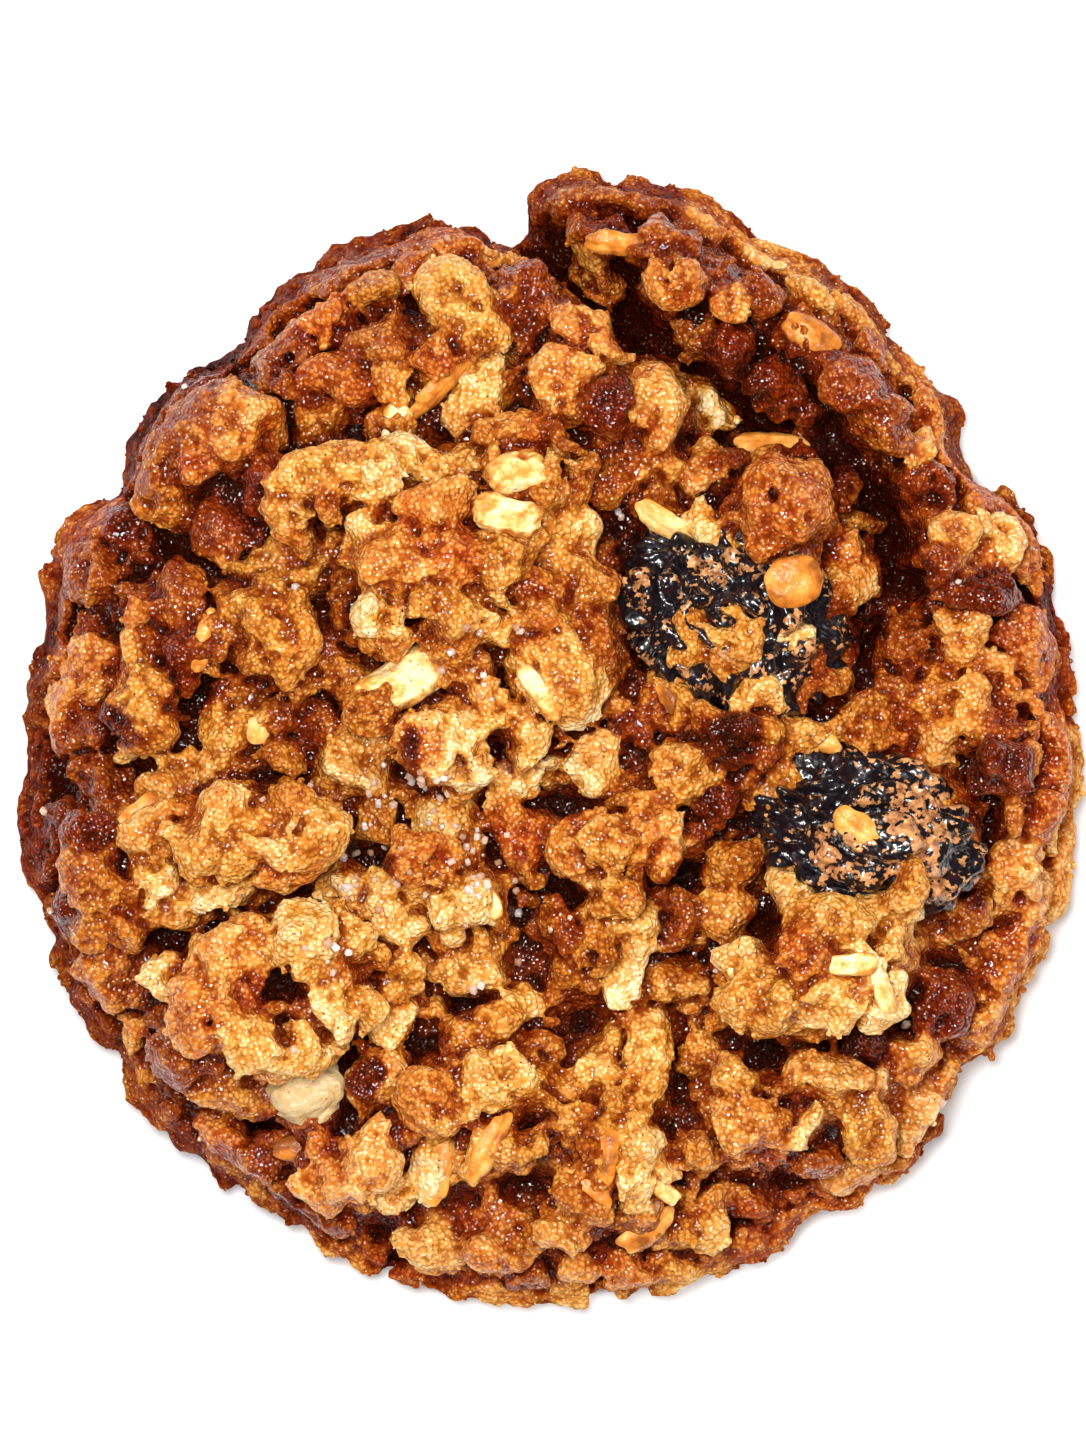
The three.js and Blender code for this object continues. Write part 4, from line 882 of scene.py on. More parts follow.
# ---- the gaps ----
def press_hollows(field):
    """Sinks and wets the crumbs in every hollow, and darkens them with painted shade and syrup pooled there.
    """
    x, y = np.meshgrid(*field.axes[:2], indexing="ij", sparse=True)
    sheet = np.zeros(field.shape[:2], np.float32)
    for row in HOLLOWS:
        sheet = np.maximum(sheet, row[5] * np.exp(-flat_oval(x, y, row, HOLLOW_RIM) * HOLLOW_FADE))
    sheet = sheet[:, :, None]
    field.distance += HOLLOW_DEPTH * sheet
    # painted shade, with syrup pooled darker: the hollows darken the look
    field.looks[0] += HOLLOW_SHADE * sheet * field.weight
    field.looks[2] += HOLLOW_WETS * sheet * field.weight


def cut_holes(field, heights, holes):
    """Holes cut down into the crumble, wet inside, their walls painted dark with painted shade and burnt
    syrup.
    """
    for x, y, along, across, turn, depth in holes:
        half = np.array([along, across, depth + HOLE_ABOVE], np.float32)
        top = field.bent_place(x, y, height_at(field, heights, x, y))
        centre = top + np.array([0, 0, HOLE_ABOVE], np.float32)
        rotation = turned(turn)
        window = field.window(centre, np.abs(rotation) @ half + HOLE_REACH)
        wall = (length(field.in_oval(window, centre, half, rotation)) - 1) * min(along, across)
        field.carve(window, wall)
        # painted shade with burnt syrup: the wall and a little past it get the burnt look
        past_wall = np.maximum(wall, HOLE_SHADE_PAINT["deepest"]) * HOLE_SHADE_PAINT["fade"] - HOLE_SHADE_PAINT["wider"]
        field.paint(window, past_wall, LOOKS["burnt"])


def open_hollows():
    """The rows for the open holes in the deep hollows."""
    share, depth = OPEN["share"], OPEN["depth"]
    return [(x, y, along * share, across * share, turn, depth)
            for x, y, along, across, turn, amount in HOLLOWS if amount >= OPEN["from"]]


def cut_clefts(field, heights):
    """The clefts between the lobes, their walls darkened with painted shade and darker syrup."""
    x, y, z = field.bent
    for width, depth, places in CLEFTS:
        wall = np.full(field.shape, BAND, np.float32)
        for (ax, ay), (bx, by) in zip(places, places[1:]):
            dx, dy = bx - ax, by - ay
            along = np.clip(((x - ax) * dx + (y - ay) * dy) / (dx**2 + dy**2), 0, 1)
            wall = np.minimum(wall, np.hypot(x - ax - along * dx, y - ay - along * dy) - width / 2)
        floor = np.maximum(heights - depth, CLEFT_FLOOR)[:, :, None]
        field.carve(..., np.maximum(wall, (floor - z) * CLEFT_SLANT))
        # painted shade with darker syrup: the dark look on the cleft walls
        near = wall < CLEFT_SHADE_PAINT["reach"]
        field.paint(near, wall[near] * CLEFT_SHADE_PAINT["fade"] + CLEFT_SHADE_PAINT["weaker"], LOOKS["dark"])


def add_relief(field):
    """Knobs and grain all over the surface, and the flat, pitted underside."""
    field.carve(..., -field.proud, PROUD_EDGE)
    relief = sum(high * (spread(bubble_tile(cells, across, seed), field.shape) - KNOB_LEVEL)
                 for cells, across, seed, high in KNOBS)
    cells, wavelength, seed, high = ROUGH
    field.distance -= relief + high * spread(noise_tile(cells, wavelength, seed), field.shape)
    cells, wavelength, seed, high = UNDER_WAVES
    waves = spread(noise_tile(cells, wavelength, seed)[:, :, 0], field.shape[:2])
    cells, across, seed, deep = UNDER_PITS
    bubbles = spread(bubble_tile(cells, across, seed)[:, :, PIT_LAYER], field.shape[:2])
    under = UNDER_GAP + high * np.maximum(1 + waves, 0) + deep * np.maximum(PIT_LEVEL - bubbles, 0)
    field.distance = np.maximum(field.distance, under[:, :, None] - field.axes[2])


# ---- meshes ----
def components(count, edges):
    """A number for each point, the same for points that edges join."""
    label = np.arange(count)
    while True:
        before = label.copy()
        low = np.minimum(label[edges[:, 0]], label[edges[:, 1]])
        np.minimum.at(label, label[edges[:, 0]], low)
        np.minimum.at(label, label[edges[:, 1]], low)
        while not np.array_equal(label, label[label]):
            label = label[label]
        if np.array_equal(label, before):
            return label


def without_islands(points, faces):
    """Drops the small loose bits of a surface."""
    edges = np.concatenate([faces[:, [0, 1]], faces[:, [1, 2]], faces[:, [2, 3]]])
    label = components(len(points), edges)
    sizes = np.bincount(label, minlength=len(points))
    keep = sizes[label] >= FEWEST
    renumbered = np.cumsum(keep) - 1
    return points[keep], renumbered[faces[keep[faces[:, 0]]]]


def new_mesh(name, points, faces, smooth=True):
    """A mesh object from points in mm and faces, an array of rows that all have 3 or 4 corners.
    In rows of 4, a triangle repeats its last corner."""
    corners = faces.shape[1]
    totals = np.full(len(faces), corners)
    if corners == 4:
        totals = np.where(faces[:, 3] == faces[:, 2], 3, 4)
    loops = faces.reshape(-1)[(np.arange(corners) < totals[:, None]).reshape(-1)]
    mesh = bpy.data.meshes.new(name)
    mesh.vertices.add(len(points))
    mesh.vertices.foreach_set("co", (points * MM).astype(np.float32).reshape(-1))
    mesh.loops.add(len(loops))
    mesh.loops.foreach_set("vertex_index", loops.astype(np.int32))
    mesh.polygons.add(len(faces))
    mesh.polygons.foreach_set("loop_start", np.concatenate([[0], np.cumsum(totals)[:-1]]).astype(np.int32))
    mesh.polygons.foreach_set("use_smooth", np.full(len(faces), smooth))
    mesh.update(calc_edges=True)
    mesh.validate()
    piece = bpy.data.objects.new(name, mesh)
    bpy.context.scene.collection.objects.link(piece)
    return piece


def set_values(piece, **layers):
    """Writes a number for each point of a mesh under each name."""
    for name, values in layers.items():
        layer = piece.data.attributes.new(name, "FLOAT", "POINT")
        layer.data.foreach_set("value", np.ascontiguousarray(values, np.float32))


def surface_of(field, block):
    """The closed surface where a block of distances is 0."""
    grid = openvdb.FloatGrid()
    grid.copyFromArray(np.ascontiguousarray(block))
    points, triangles, quads = grid.convertToPolygons(isovalue=0.0, adaptivity=SIMPLER)
    faces = np.concatenate([np.column_stack([triangles, triangles[:, 2]]), quads]).astype(np.int64)
    return without_islands((points + field.first) * STEP, faces)


def crumble_regions(field):
    """For each piece of the crumble, the distance to its share of space."""
    x, y, z = np.meshgrid(*field.axes, indexing="ij", sparse=True)
    base = z - BASE_HEIGHT
    regions = {"crumble_base": np.broadcast_to(base, field.shape)}
    for name, (cx, cy) in SECTORS.items():
        edge = -base
        for other, (ox, oy) in SECTORS.items():
            if other != name:
                nearer = (x - cx) ** 2 + (y - cy) ** 2 - (x - ox) ** 2 - (y - oy) ** 2
                edge = np.maximum(edge, nearer / (2 * math.hypot(cx - ox, cy - oy)))
        regions[name] = edge
    return regions


def crumble_pieces(field):
    """The crumble's surface as closed meshes with their looks."""
    solid = (field.distance < 0).astype(np.float32)
    around = {name: box_blur(box_blur(solid, wide), narrow) for name, (wide, narrow) in SURROUNDINGS.items()}
    pieces = []
    for name, region in crumble_regions(field).items():
        sunk = field.distance + LOWERED * np.clip(region, 0, OVERLAP)
        points, faces = surface_of(field, np.maximum(sunk, region - OVERLAP))
        weight = field.sample(field.weight, points)
        layers = {look: field.sample(layer, points) / weight for look, layer in zip(LOOK_NAMES, field.looks)}
        layers |= {layer: field.sample(block, points) - 0.5 for layer, block in around.items()}
        pieces.append(new_mesh(name, points, faces))
        set_values(pieces[-1], **layers)
    return pieces


def gathered(pieces):
    """The points of all the pieces in mm, the directions they face and their values there."""
    found = []
    for mesh in (piece.data for piece in pieces):
        values = {"place": read(mesh.vertices, "co", 3) / MM}
        values["facing"] = read(mesh.vertex_normals, "vector", 3)
        for name in LOOK_NAMES + tuple(SURROUNDINGS):
            values[name] = read(mesh.attributes[name].data, "value")
        found.append(values)
    return {name: np.concatenate([values[name] for values in found]) for name in found[0]}


# ---- the pieces that lie in the crumble ----
def ball(subdivisions):
    """The points and triangles of a round ball of radius 1."""
    bpy.ops.mesh.primitive_ico_sphere_add(subdivisions=subdivisions, radius=1.0)
    made = bpy.context.object
    points, triangles = mesh_arrays(made.data)
    bpy.data.objects.remove(made)
    return points.astype(np.float64) * MM, triangles.astype(np.int64)


def boxy(unit, power):
    """A ball's points moved out to a box with rounded edges; a higher power is squarer."""
    reach = np.sum(np.abs(unit) ** power, axis=1) ** (-1 / power)
    return unit * reach[:, None]


def lying(node):
    """The middle of a CAD node, its axes from longest to shortest, and its half sizes along them."""
    points, _ = mesh_arrays(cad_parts[node].data)
    middle = (points.min(axis=0) + points.max(axis=0)) / 2
    axes = np.linalg.svd(points - middle, full_matrices=False)[2]
    axes *= np.where(axes.diagonal() < 0, -1, 1)[:, None]
    if np.linalg.det(axes) < 0:
        axes[1] *= -1
    half = np.abs((points - middle) @ axes.T).max(axis=0)
    return middle, axes, half


def raisin(node, seed, moved, turn, size, dusted):
    """A raisin: a flattened oval, deeply folded along its length, with crumb stuck to its folds."""
    middle, axes, half = lying(node)
    half = half * size
    unit, faces = ball(RAISIN_DETAIL)
    body = unit * half
    wide = noise_tile(*SWAY_TILE, seed)
    places = body / STEP * SWAY["fine"]
    sway = np.column_stack([blended(wide, places + axis * SWAY["apart"]) for axis in range(3)])
    height = SWAY["lifts"] * sway[:, 0] - RAISIN_SUNK
    for number, (squeeze, fine, high) in enumerate(FOLDS):
        tile = noise_tile(*FOLD_TILE, seed + 1 + number)
        place = (body * (squeeze, 1.0, 1.0) + sway * SWAY["bends"]) / STEP * fine + FOLDS_APART * number
        height = height + high * np.minimum(np.hypot(blended(tile, place), FOLD_LIMITS[0]), FOLD_LIMITS[1])
    outward = unit / half
    outward /= np.linalg.norm(outward, axis=1)[:, None]
    points = body + outward * height[:, None]
    stuck = STUCK["on_folds"] * (height - height.mean()) / height.std() + STUCK["level"]
    for dx, dy, reach, amount in dusted:
        away = ((points @ axes)[:, :2] - (dx, dy)) / reach
        stuck += amount * np.exp(-np.sum(away**2, axis=1))
    piece = new_mesh(node + "_skin", points @ axes @ turned(turn).T + middle + moved, faces)
    set_values(piece, stuck=stuck)
    return piece


def apple_piece(middle, axes, half, seed, detail, look):
    """The points, faces and rim of a cut piece of apple, with fibres along it and an uneven broken rim."""
    unit, faces = ball(detail)
    tile = noise_tile(*FOLD_TILE, seed)
    body = boxy(unit, look["square"]) * half
    noise = {name: blended(tile, body * fine / STEP + shift) for name, (fine, shift) in APPLE_NOISE.items()}
    rim = np.clip(np.hypot(body[:, 0] / half[0], body[:, 1] / half[1]) - APPLE_RIM, 0, 1)
    bites = np.minimum(0, noise["bites"] - BITE_LEVEL)
    ragged = RAGGED["uneven"] * noise["uneven"] + RAGGED["nicks"] * noise["nicks"] * rim
    ragged += RAGGED["bites"] * bites
    points = body * (1 + look["ragged"] * ragged)[:, None]
    points[:, 2] += FIBRES * look["ragged"] * noise["fibres"]
    stain = STAINED["rim"] * rim + STAINED["uneven"] * noise["uneven"] + STAINED["bites"] * bites
    return points @ axes + middle, faces, np.clip(stain, 0, 1)


def apple_of(node, number):
    """The piece of apple that takes a CAD node's place."""
    look = {**PLAIN_APPLE, **APPLES.get(node, {})}
    middle, axes, half = lying(node)
    points, faces, rim = apple_piece(middle + look["moved"], axes, half * look["smaller"],
                                     SEEDS["apples"] + number, APPLE_DETAIL, look)
    piece = new_mesh(node + "_flesh", points, faces)
    # painted shade: how far the piece is painted in shade, which also hides its rim stain
    set_values(piece, rim=rim * (1 - look["dull"]), dull=np.full(len(points), look["dull"]))
    return piece


# ---- the small things ----
def joined(parts):
    """One set of points and faces, and one set of values, from several."""
    points, faces, values = [], [], []
    count = 0
    for part_points, part_faces, part_values in parts:
        points.append(part_points)
        faces.append(part_faces + count)
        values.append(np.broadcast_to(part_values, (len(part_points),)))
        count += len(part_points)
    return np.concatenate(points), np.concatenate(faces), np.concatenate(values)


def apple_bits(field, heights):
    """Small pieces of apple."""
    parts = []
    for number, (x, y, lift, half, turn, tip) in enumerate(APPLE_BITS):
        middle = np.array([x, y, height_at(field, heights, x, y) + lift])
        parts.append(apple_piece(middle, turned(turn, tip).T, np.array(half), SEEDS["apple_bits"] + number,
                                 APPLE_BIT_DETAIL, PLAIN_APPLE))
    return joined(parts)


def oat_flakes(field, heights):
    """Rolled oats: thin ovals, slightly curled, with a crease along the middle."""
    unit, faces = ball(FLAKE["detail"])
    parts = []
    for number, (x, y, lift, along, across, turn, tip, roll, dark) in enumerate(FLAKES):
        tile = noise_tile(*FLAKE["tile"], SEEDS["flakes"] + number)
        body = boxy(unit, FLAKE["square"]) * (along, across, FLAKE["thick"])
        slim = min(1, 0.9 * along / across - 0.7)  # a round flake is less ragged
        ragged = 1 + FLAKE["ragged"] * slim * blended(tile, body * FLAKE["rim_fine"] / STEP)
        body[:, :2] *= ragged[:, None]
        u, v = body[:, 0] / along, body[:, 1] / across
        curl = FLAKE["curled_across"] * v**2 + FLAKE["curled_along"] * u**2
        crease = FLAKE["crease"] * np.exp(-((v / FLAKE["crease_width"]) ** 2))
        body[:, 2] += FLAKE["rough"] * blended(tile, body * FLAKE["face_fine"] / STEP) - curl - crease
        middle = np.array([x, y, height_at(field, heights, x, y) + lift])
        points = body @ turned(turn, tip, roll).T + middle
        parts.append((points, faces, dark + FLAKE["patchy"] * blended(tile, body / STEP)))
    return joined(parts)


def sugar_crystals(surface):
    """Grains of coarse sugar that did not melt."""
    rng = np.random.default_rng(SEEDS["sugar"])
    unit, faces = ball(CRYSTAL["detail"])
    exposed = (surface["facing"][:, 2] > EXPOSED["up"]) & (surface["place"][:, 2] > EXPOSED["lowest"])
    tops, normals = surface["place"][exposed], surface["facing"][exposed]
    parts = []
    for x, y, reach, count in SUGAR_SPOTS:
        for _ in range(count):
            spot = np.array([x, y]) + rng.normal(0, reach, 2)
            near = np.argmin(np.sum((tops[:, :2] - spot) ** 2, axis=1))
            size = rng.uniform(*CRYSTAL["half"])
            half = size * rng.uniform(*CRYSTAL["shape"], 3)
            body = boxy(unit, CRYSTAL["square"]) * half * rng.uniform(*CRYSTAL["worn"], (len(unit), 1))
            points = body @ any_turn(rng) + tops[near] + normals[near] * size * CRYSTAL["out"]
            parts.append((points, faces, rng.uniform(0, 1)))
    return joined(parts)


def random_turns(count, rng):
    """Rotation matrices in every direction."""
    q = rng.standard_normal((count, 4))
    w, x, y, z = (q / np.linalg.norm(q, axis=1)[:, None]).T
    rows = [1 - 2 * (y * y + z * z), 2 * (x * y - z * w), 2 * (x * z + y * w),
            2 * (x * y + z * w), 1 - 2 * (x * x + z * z), 2 * (y * z - x * w),
            2 * (x * z - y * w), 2 * (y * z + x * w), 1 - 2 * (x * x + y * y)]
    return np.stack(rows, axis=1).reshape(-1, 3, 3)


def fine_grains(surface):
    """Crumbs finer than rice, stuck all over the crumble, as one mesh."""
    rng = np.random.default_rng(SEEDS["grains"])
    unit, faces = ball(GRAINS["detail"])
    fit = surface["place"][:, 2] > GRAINS["lowest"]
    for name in SURROUNDINGS:
        fit &= surface[name] < GRAINS[name]
    pick = rng.choice(np.flatnonzero(fit), GRAINS["count"], replace=False)
    size = GRAINS["smallest"] + (GRAINS["largest"] - GRAINS["smallest"]) * rng.random(len(pick)) ** 2
    shape = size[:, None] * rng.uniform(*GRAINS["shape"], (len(pick), 3))
    bodies = (unit[None] * shape[:, None]) @ random_turns(len(pick), rng)
    middles = surface["place"][pick] + surface["facing"][pick] * size[:, None] * GRAINS["out"]
    points = bodies + middles[:, None]
    index = faces[None] + (np.arange(len(pick)) * len(unit))[:, None, None]
    piece = new_mesh("crumble_grains", points.reshape(-1, 3), index.reshape(-1, 3))
    layers = {name: np.repeat(surface[name][pick] + rng.normal(0, amount, len(pick)), len(unit))
              for name, amount in GRAINS["shift"].items()}
    set_values(piece, **layers)
    return piece


# ---- materials ----
def srgb(red, green, blue):
    """A colour given from 0 to 255 as the shader wants it."""
    values = [v / 255 for v in (red, green, blue)]
    return [v / 12.92 if v <= 0.04045 else ((v + 0.055) / 1.055) ** 2.4 for v in values] + [1.0]


class Shader:
    """A material's node tree, with short calls to add to it. Its places are in mm."""

    def __init__(self, name):
        self.material = bpy.data.materials.new(name)
        self.material.use_nodes = True
        self.tree = self.material.node_tree
        self.surface = self.tree.nodes["Principled BSDF"]
        coordinates = self.tree.nodes.new("ShaderNodeTexCoord")
        self.place = self.add("ShaderNodeVectorMath", coordinates.outputs["Object"], operation="SCALE")
        self.place.node.inputs["Scale"].default_value = 1 / MM

    def put(self, socket, value):
        """Links a socket to another, or sets its constant."""
        if isinstance(value, bpy.types.NodeSocket):
            self.tree.links.new(value, socket)
        elif value is not None:
            socket.default_value = value

    def add(self, kind, *inputs, output=0, **settings):
        """A new node with its first inputs and its settings. Returns one of its outputs."""
        node = self.tree.nodes.new(kind)
        for name, value in settings.items():
            setattr(node, name, value)
        for socket, value in zip(node.inputs, inputs):
            self.put(socket, value)
        return node.outputs[output]

    def fill(self, kind, output, **inputs):
        """A new node with the inputs of these names. Returns the output of that name."""
        node = self.tree.nodes.new(kind)
        for name, value in inputs.items():
            self.put(node.inputs[name], value)
        return node.outputs[output]

    def times(self, a, b):
        """Their product."""
        return self.add("ShaderNodeMath", a, b, operation="MULTIPLY")

    def layer(self, name):
        """A value that set_values wrote."""
        return self.add("ShaderNodeAttribute", attribute_name=name, output="Fac")

    def noise(self, per_mm, detail, place=None):
        """Noise with that many waves in a mm."""
        place = place or self.place
        return self.fill("ShaderNodeTexNoise", "Fac", Vector=place, Scale=per_mm, Detail=detail,
                         Roughness=0.55)

    def cells(self, per_mm):
        """Distance to the nearest of scattered points."""
        return self.fill("ShaderNodeTexVoronoi", "Distance", Vector=self.place, Scale=per_mm)

    def ramp(self, value, stops):
        """The colour for a value, between stops that are given as position: colour."""
        node = self.tree.nodes.new("ShaderNodeValToRGB")
        self.put(node.inputs["Fac"], value)
        points = node.color_ramp.elements
        while len(points) < len(stops):
            points.new(0.5)
        for point, (position, colour) in zip(points, stops.items()):
            point.position = position
            point.color = srgb(*colour)
        return node.outputs["Color"]

    def span(self, value, low, high, to_low=0.0, to_high=1.0):
        """The value carried from one range to another, and held inside it."""
        return self.add("ShaderNodeMapRange", value, low, high, to_low, to_high)

    def varied(self, value, *spans):
        """The value plus each of the spans, held between 0 and 1 in the end."""
        for number, span in enumerate(spans, 1):
            value = self.add("ShaderNodeMath", value, self.span(*span), operation="ADD",
                             use_clamp=number == len(spans))
        return value

    def mix(self, share, a, b):
        """A share of colour b in colour a; the node's other sockets are for numbers and vectors."""
        node = self.tree.nodes.new("ShaderNodeMix")
        node.data_type = "RGBA"
        for number, value in ((0, share), (6, a), (7, b)):
            self.put(node.inputs[number], value)
        return node.outputs[2]

    def bump(self, height, distance, strength=1.0, normal=None):
        """A normal for bumps that many mm high."""
        return self.fill("ShaderNodeBump", "Normal", Height=height, Distance=distance * MM,
                         Strength=strength, Normal=normal)

    def finish(self, **inputs):
        """Sets the surface's inputs, named as in Blender but with _ and small letters."""
        for name, value in inputs.items():
            self.put(self.surface.inputs[name.replace("_", " ").title().replace("Ior", "IOR")], value)
        return self.material


GOLDEN = {
    0.00: (246, 218, 168), 0.12: (236, 190, 122), 0.22: (222, 160, 78), 0.34: (194, 126, 44),
    0.46: (160, 90, 24), 0.58: (130, 58, 9), 0.70: (106, 36, 4), 0.85: (76, 20, 2), 1.00: (46, 10, 1),
}
RED = {
    0.00: (242, 200, 140), 0.12: (230, 166, 94), 0.22: (212, 132, 56), 0.34: (190, 100, 30),
    0.46: (156, 62, 14), 0.58: (128, 39, 5), 0.70: (102, 24, 3), 0.85: (72, 13, 1), 1.00: (42, 7, 1),
}
SKIN = {0.35: (8, 5, 9), 0.6: (20, 11, 16), 0.8: (50, 20, 20)}
STUCK_CRUMB = {0.35: (124, 68, 34), 0.65: (212, 150, 92)}
FLESH = {0.0: (246, 224, 172), 0.35: (234, 192, 116), 0.65: (214, 146, 62), 1.0: (180, 96, 32)}
OAT = {0.0: (244, 202, 134), 0.35: (230, 162, 76), 0.7: (204, 120, 38), 1.0: (142, 76, 24)}
SUGAR = {0.0: (250, 232, 220), 0.5: (236, 200, 174), 1.0: (200, 144, 108)}
MILKY = srgb(212, 158, 108)
SPECK = srgb(96, 34, 12)
# the near-white of the painted highlight dots
PAINTED_GLINT = srgb(255, 228, 180)
# the darker, greyer colour of painted shade on the apple
SHADED_FLESH = srgb(190, 162, 116)
STAIN = srgb(178, 84, 50)


def crumble_material():
    """Baked oat crumble: its colour goes from pale through gold and red-brown to burnt syrup, with painted
    shade in creases and hollows and painted glints.
    """
    s = Shader("crumble")
    patches = s.noise(0.33, 2.0)
    mottle = s.noise(0.95, 2.0)
    curds = s.cells(1.9)
    height = s.add("ShaderNodeSeparateXYZ", s.place, output=2)
    toast_and_shade = s.varied(
        s.layer("toast_and_shade"),
        (patches, 0.3, 0.7, -0.05, 0.05),
        (height, 4.0, 10.0, 0.04, 0.0),
        (mottle, 0.3, 0.7, -0.06, 0.06),
        (curds, 0.2, 0.75, -0.09, 0.10),
        # painted shade: darker in creases, and in hollows, where syrup also pools darker
        (s.layer("crease"), -0.10, 0.24, -0.09, 0.33),
        (s.layer("hollow"), 0.04, 0.34, 0.0, 0.20),
    )
    blush = s.varied(s.layer("blush"), (patches, 0.3, 0.7, -0.28, 0.28))
    wet = s.varied(s.layer("wet"), (s.layer("crease"), -0.05, 0.2, -0.1, 0.4))
    colour = s.mix(blush, s.ramp(toast_and_shade, GOLDEN), s.ramp(toast_and_shade, RED))
    elsewhere = s.add("ShaderNodeVectorMath", s.place, (40.0, 40.0, 40.0), operation="ADD")
    milky = s.span(s.noise(0.42, 2.0, elsewhere), 0.5, 0.68, 0.0, 0.26)
    colour = s.mix(s.times(milky, s.span(toast_and_shade, 0.2, 0.5, 1.0, 0.0)), colour, MILKY)
    speck = s.times(s.span(s.cells(1.1), 0.10, 0.17, 0.8, 0.0), s.span(wet, 0.3, 0.6, 1.0, 0.3))
    colour = s.mix(speck, colour, SPECK)
    # painted highlight: small glint dots painted into the colour, in patches and fewer in the dark parts
    painted_glint = s.times(s.span(s.cells(1.7), 0.15, 0.22, 0.8, 0.0), s.span(mottle, 0.4, 0.6, 0.15, 1.0))
    painted_glint = s.times(painted_glint, s.span(toast_and_shade, 0.45, 0.8, 1.0, 0.15))
    colour = s.mix(painted_glint, colour, PAINTED_GLINT)
    granules = s.span(s.times(curds, curds), 0.0, 0.5, 1.0, 0.0)
    soft = s.bump(s.noise(2.5, 1.0), 0.18, normal=s.bump(granules, 0.22))
    glossy = s.bump(mottle, 0.28, normal=s.bump(granules, 0.14))
    upward = s.add("ShaderNodeSeparateXYZ", s.add("ShaderNodeNewGeometry", output="Normal"), output=2)
    coat = s.times(s.span(wet, 0.05, 0.5, 0.4, 1.0), s.span(height, 4.0, 11.0, 0.05, 1.0))
    coat = s.times(coat, s.span(upward, 0.05, 0.4, 0.1, 1.0))
    return s.finish(base_color=colour, roughness=0.5, normal=soft, specular_ior_level=0.0,
                    coat_weight=coat, coat_roughness=0.06, coat_normal=glossy,
                    subsurface_weight=0.32, subsurface_radius=(1.0, 0.45, 0.18), subsurface_scale=0.8 * MM)


def raisin_material():
    """Near-black skin with a purple cast, shiny on its folds, dulled where crumb sticks to it."""
    s = Shader("raisin")
    patches = s.varied(s.layer("stuck"), (s.noise(0.5, 3.0), 0.3, 0.7, -0.5, 0.5),
                       (s.noise(1.5, 2.0), 0.3, 0.7, -0.5, 0.5))
    patches = s.span(patches, 0.06, 0.16)
    colour = s.mix(patches, s.ramp(s.noise(0.4, 2.0), SKIN), s.ramp(s.noise(1.2, 3.0), STUCK_CRUMB))
    wrinkles = s.bump(s.noise(1.1, 1.0), 0.22)
    return s.finish(base_color=colour, roughness=s.span(patches, 0.0, 1.0, 0.36, 0.6), normal=wrinkles,
                    specular_ior_level=0.45, coat_weight=0.9, coat_roughness=0.06, coat_normal=wrinkles)


def apple_material():
    """Baked apple flesh: pale yellow, moist, stained gold along its rim and in patches; a piece in shade is
    painted darker and greyer.
    """
    s = Shader("apple")
    tone = s.varied(s.layer("rim"), (s.noise(0.4, 3.0), 0.35, 0.65, -0.2, 0.45),
                    (s.noise(1.6, 2.0), 0.3, 0.7, -0.12, 0.12))
    # painted shade: a piece in shade has its flesh mixed toward a darker, greyer colour
    colour = s.mix(s.layer("dull"), s.ramp(tone, FLESH), SHADED_FLESH)
    colour = s.mix(s.span(s.cells(0.9), 0.1, 0.16, 0.6, 0.0), colour, STAIN)
    normal = s.bump(s.cells(2.4), 0.08, 0.8, s.bump(s.noise(1.7, 3.0), 0.3, 0.8))
    return s.finish(base_color=colour, roughness=0.45, normal=normal, specular_ior_level=0.2,
                    coat_weight=0.5, coat_roughness=0.13, coat_normal=normal,
                    subsurface_weight=0.25, subsurface_radius=(1.0, 0.6, 0.3), subsurface_scale=1.0 * MM)


def oat_material():
    """Toasted oat flakes: pale straw to tan, wet with syrup."""
    s = Shader("oat")
    tone = s.varied(s.layer("rim"), (s.noise(0.8, 4.0), 0.3, 0.7, -0.2, 0.25))
    normal = s.bump(s.noise(2.2, 3.0), 0.2, 0.8)
    return s.finish(base_color=s.ramp(tone, OAT), roughness=0.45, normal=normal, specular_ior_level=0.2,
                    coat_weight=0.6, coat_roughness=0.13, coat_normal=normal,
                    subsurface_weight=0.25, subsurface_radius=(1.0, 0.55, 0.25), subsurface_scale=0.8 * MM)


def sugar_material():
    """Coarse sugar, clear to milky, tinged by the syrup it lies in."""
    s = Shader("sugar")
    normal = s.bump(s.noise(2.5, 2.0), 0.08, 0.5)
    return s.finish(base_color=s.ramp(s.layer("rim"), SUGAR), roughness=0.12, normal=normal,
                    coat_weight=0.3, coat_roughness=0.05, transmission_weight=0.35,
                    subsurface_weight=0.4, subsurface_radius=(1.0, 0.8, 0.7), subsurface_scale=0.6 * MM)


# ---- the scene ----
def show(piece, material, slot, *nodes):
    """Gives a piece its material and ties it to the frame."""
    piece.data.materials.append(material)
    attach(piece, "root")
    if nodes:
        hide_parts(*nodes)


def add_light(name, place, size, power):
    """A round soft light that points at the origin. Only the key glints in the syrup."""
    light = bpy.data.lights.new(name, "AREA")
    light.shape = "DISK"
    light.size = size
    light.energy = power
    lamp = bpy.data.objects.new(name, light)
    lamp.location = place
    lamp.rotation_euler = Vector(place).to_track_quat("Z", "Y").to_euler()
    lamp.visible_glossy = name == "key"
    bpy.context.scene.collection.objects.link(lamp)


def add_floor():
    """The plain pale floor."""
    bpy.ops.mesh.primitive_plane_add(size=FLOOR["size"], location=(0, 0, 0))
    floor = bpy.context.object
    floor.name = "floor"
    colour = (FLOOR["grey"], FLOOR["grey"], FLOOR["grey"], 1.0)
    floor.data.materials.append(Shader("floor").finish(base_color=colour, roughness=FLOOR["roughness"]))


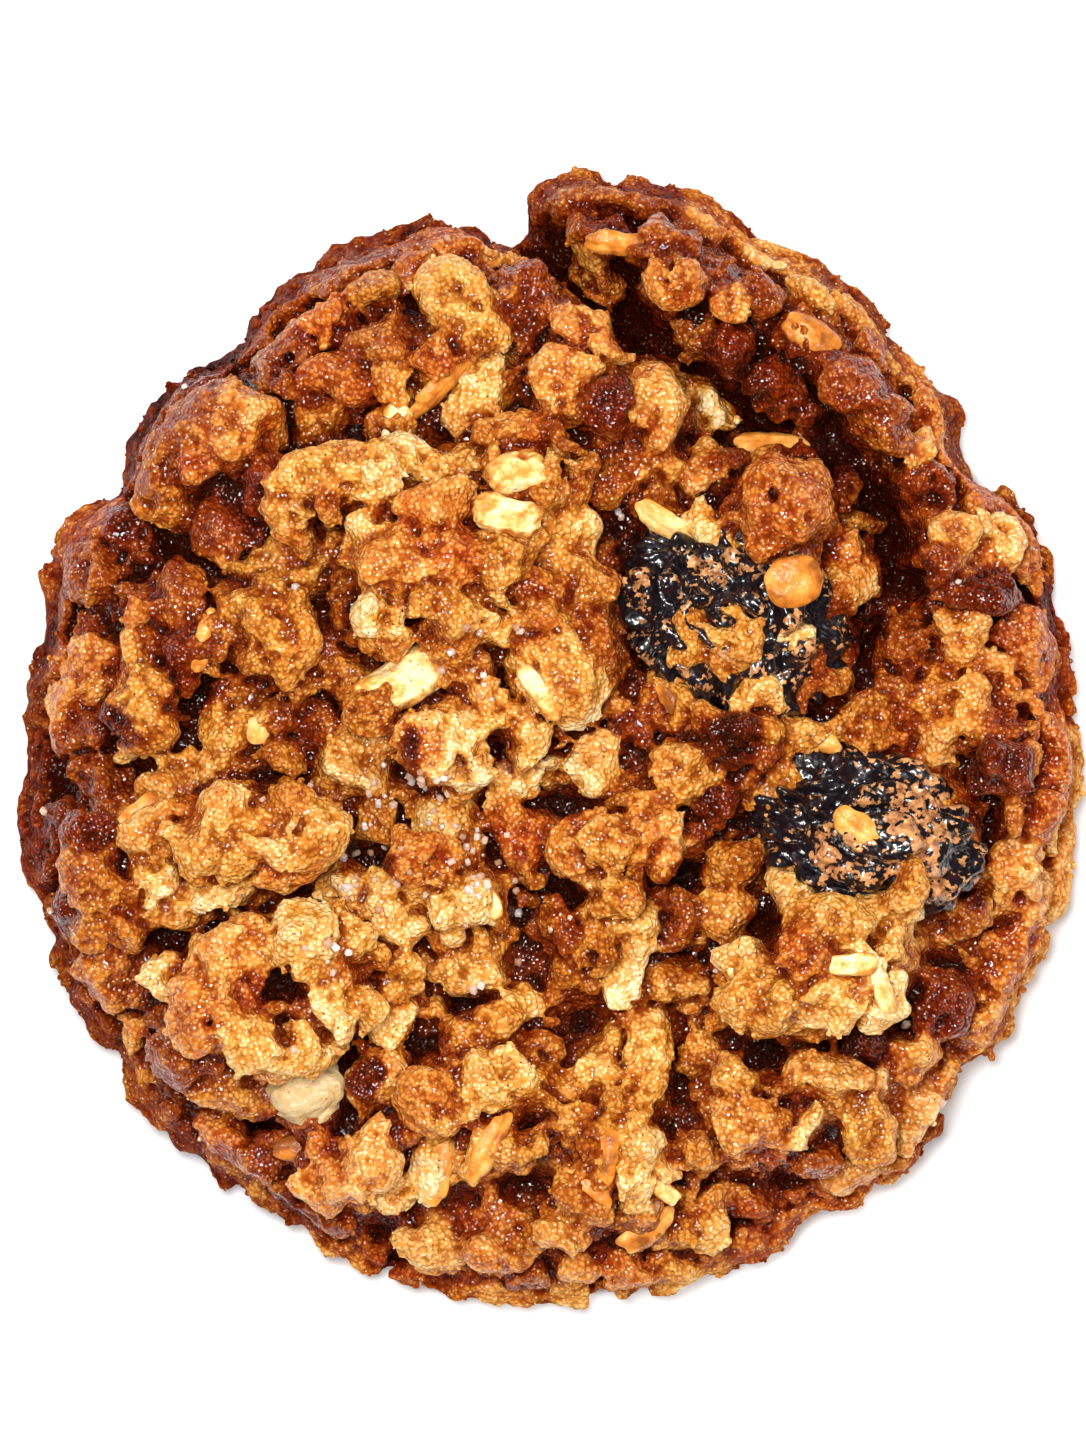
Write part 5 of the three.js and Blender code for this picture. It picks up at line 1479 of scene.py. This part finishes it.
def add_camera():
    """The camera, straight above the cookie."""
    camera = bpy.data.cameras.new("camera")
    camera.sensor_fit = "VERTICAL"
    camera.sensor_height = SENSOR
    camera.lens = SENSOR * SHOT["distance"] / SHOT["height"]
    camera.clip_end = FURTHEST
    view = bpy.data.objects.new("camera", camera)
    x, y, z = SHOT["aim"]
    view.location = (x * MM, y * MM, (z + SHOT["distance"]) * MM)
    bpy.context.scene.collection.objects.link(view)
    bpy.context.scene.camera = view


def set_stage():
    """Light, floor and camera."""
    scene = bpy.context.scene
    scene.view_settings.view_transform = "Standard"
    scene.world = bpy.data.worlds.new("studio")
    scene.world.use_nodes = True
    background = scene.world.node_tree.nodes["Background"]
    background.inputs["Color"].default_value = (1.0, 1.0, 1.0, 1.0)
    background.inputs["Strength"].default_value = WORLD_LIGHT
    for name, light in LIGHTS.items():
        add_light(name, *light)
    add_floor()
    add_camera()


def build_field():
    """The whole crumble as a field. Returns it and the height of the CAD's top over each place."""
    field = Field()
    heights = lay_core(field)
    scatter_crumbs(field)
    press_hollows(field)
    cut_holes(field, heights, open_hollows())
    stamp_crumbs(field, heights)
    cut_holes(field, heights, WELLS + [place + PORE for place in PORES])
    cut_clefts(field, heights)
    add_relief(field)
    return field, heights


def main():
    """Builds every piece, ties it to the frame and sets the stage."""
    field, heights = build_field()
    pieces = crumble_pieces(field)
    surface = gathered(pieces)
    crumble = crumble_material()
    for piece in pieces:
        show(piece, crumble, "crumble", "cookie")
    show(fine_grains(surface), crumble, "crumble")
    skin = raisin_material()
    for node, shape in RAISINS.items():
        show(raisin(node, *shape), skin, "raisin", node)
    flesh = apple_material()
    for number, node in enumerate(n for n in sorted(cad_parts) if n.startswith("apple")):
        show(apple_of(node, number), flesh, "apple", node)
    small_things = {
        "apple_bits": (apple_bits(field, heights), flesh, "apple", True),
        "oat_flakes": (oat_flakes(field, heights), oat_material(), "crumble", True),
        "sugar": (sugar_crystals(surface), sugar_material(), "crumble", False),
    }
    for name, ((points, faces, rim), material, slot, smooth) in small_things.items():
        piece = new_mesh(name, points, faces, smooth)
        set_values(piece, rim=rim)
        show(piece, material, slot)
    set_stage()


main()
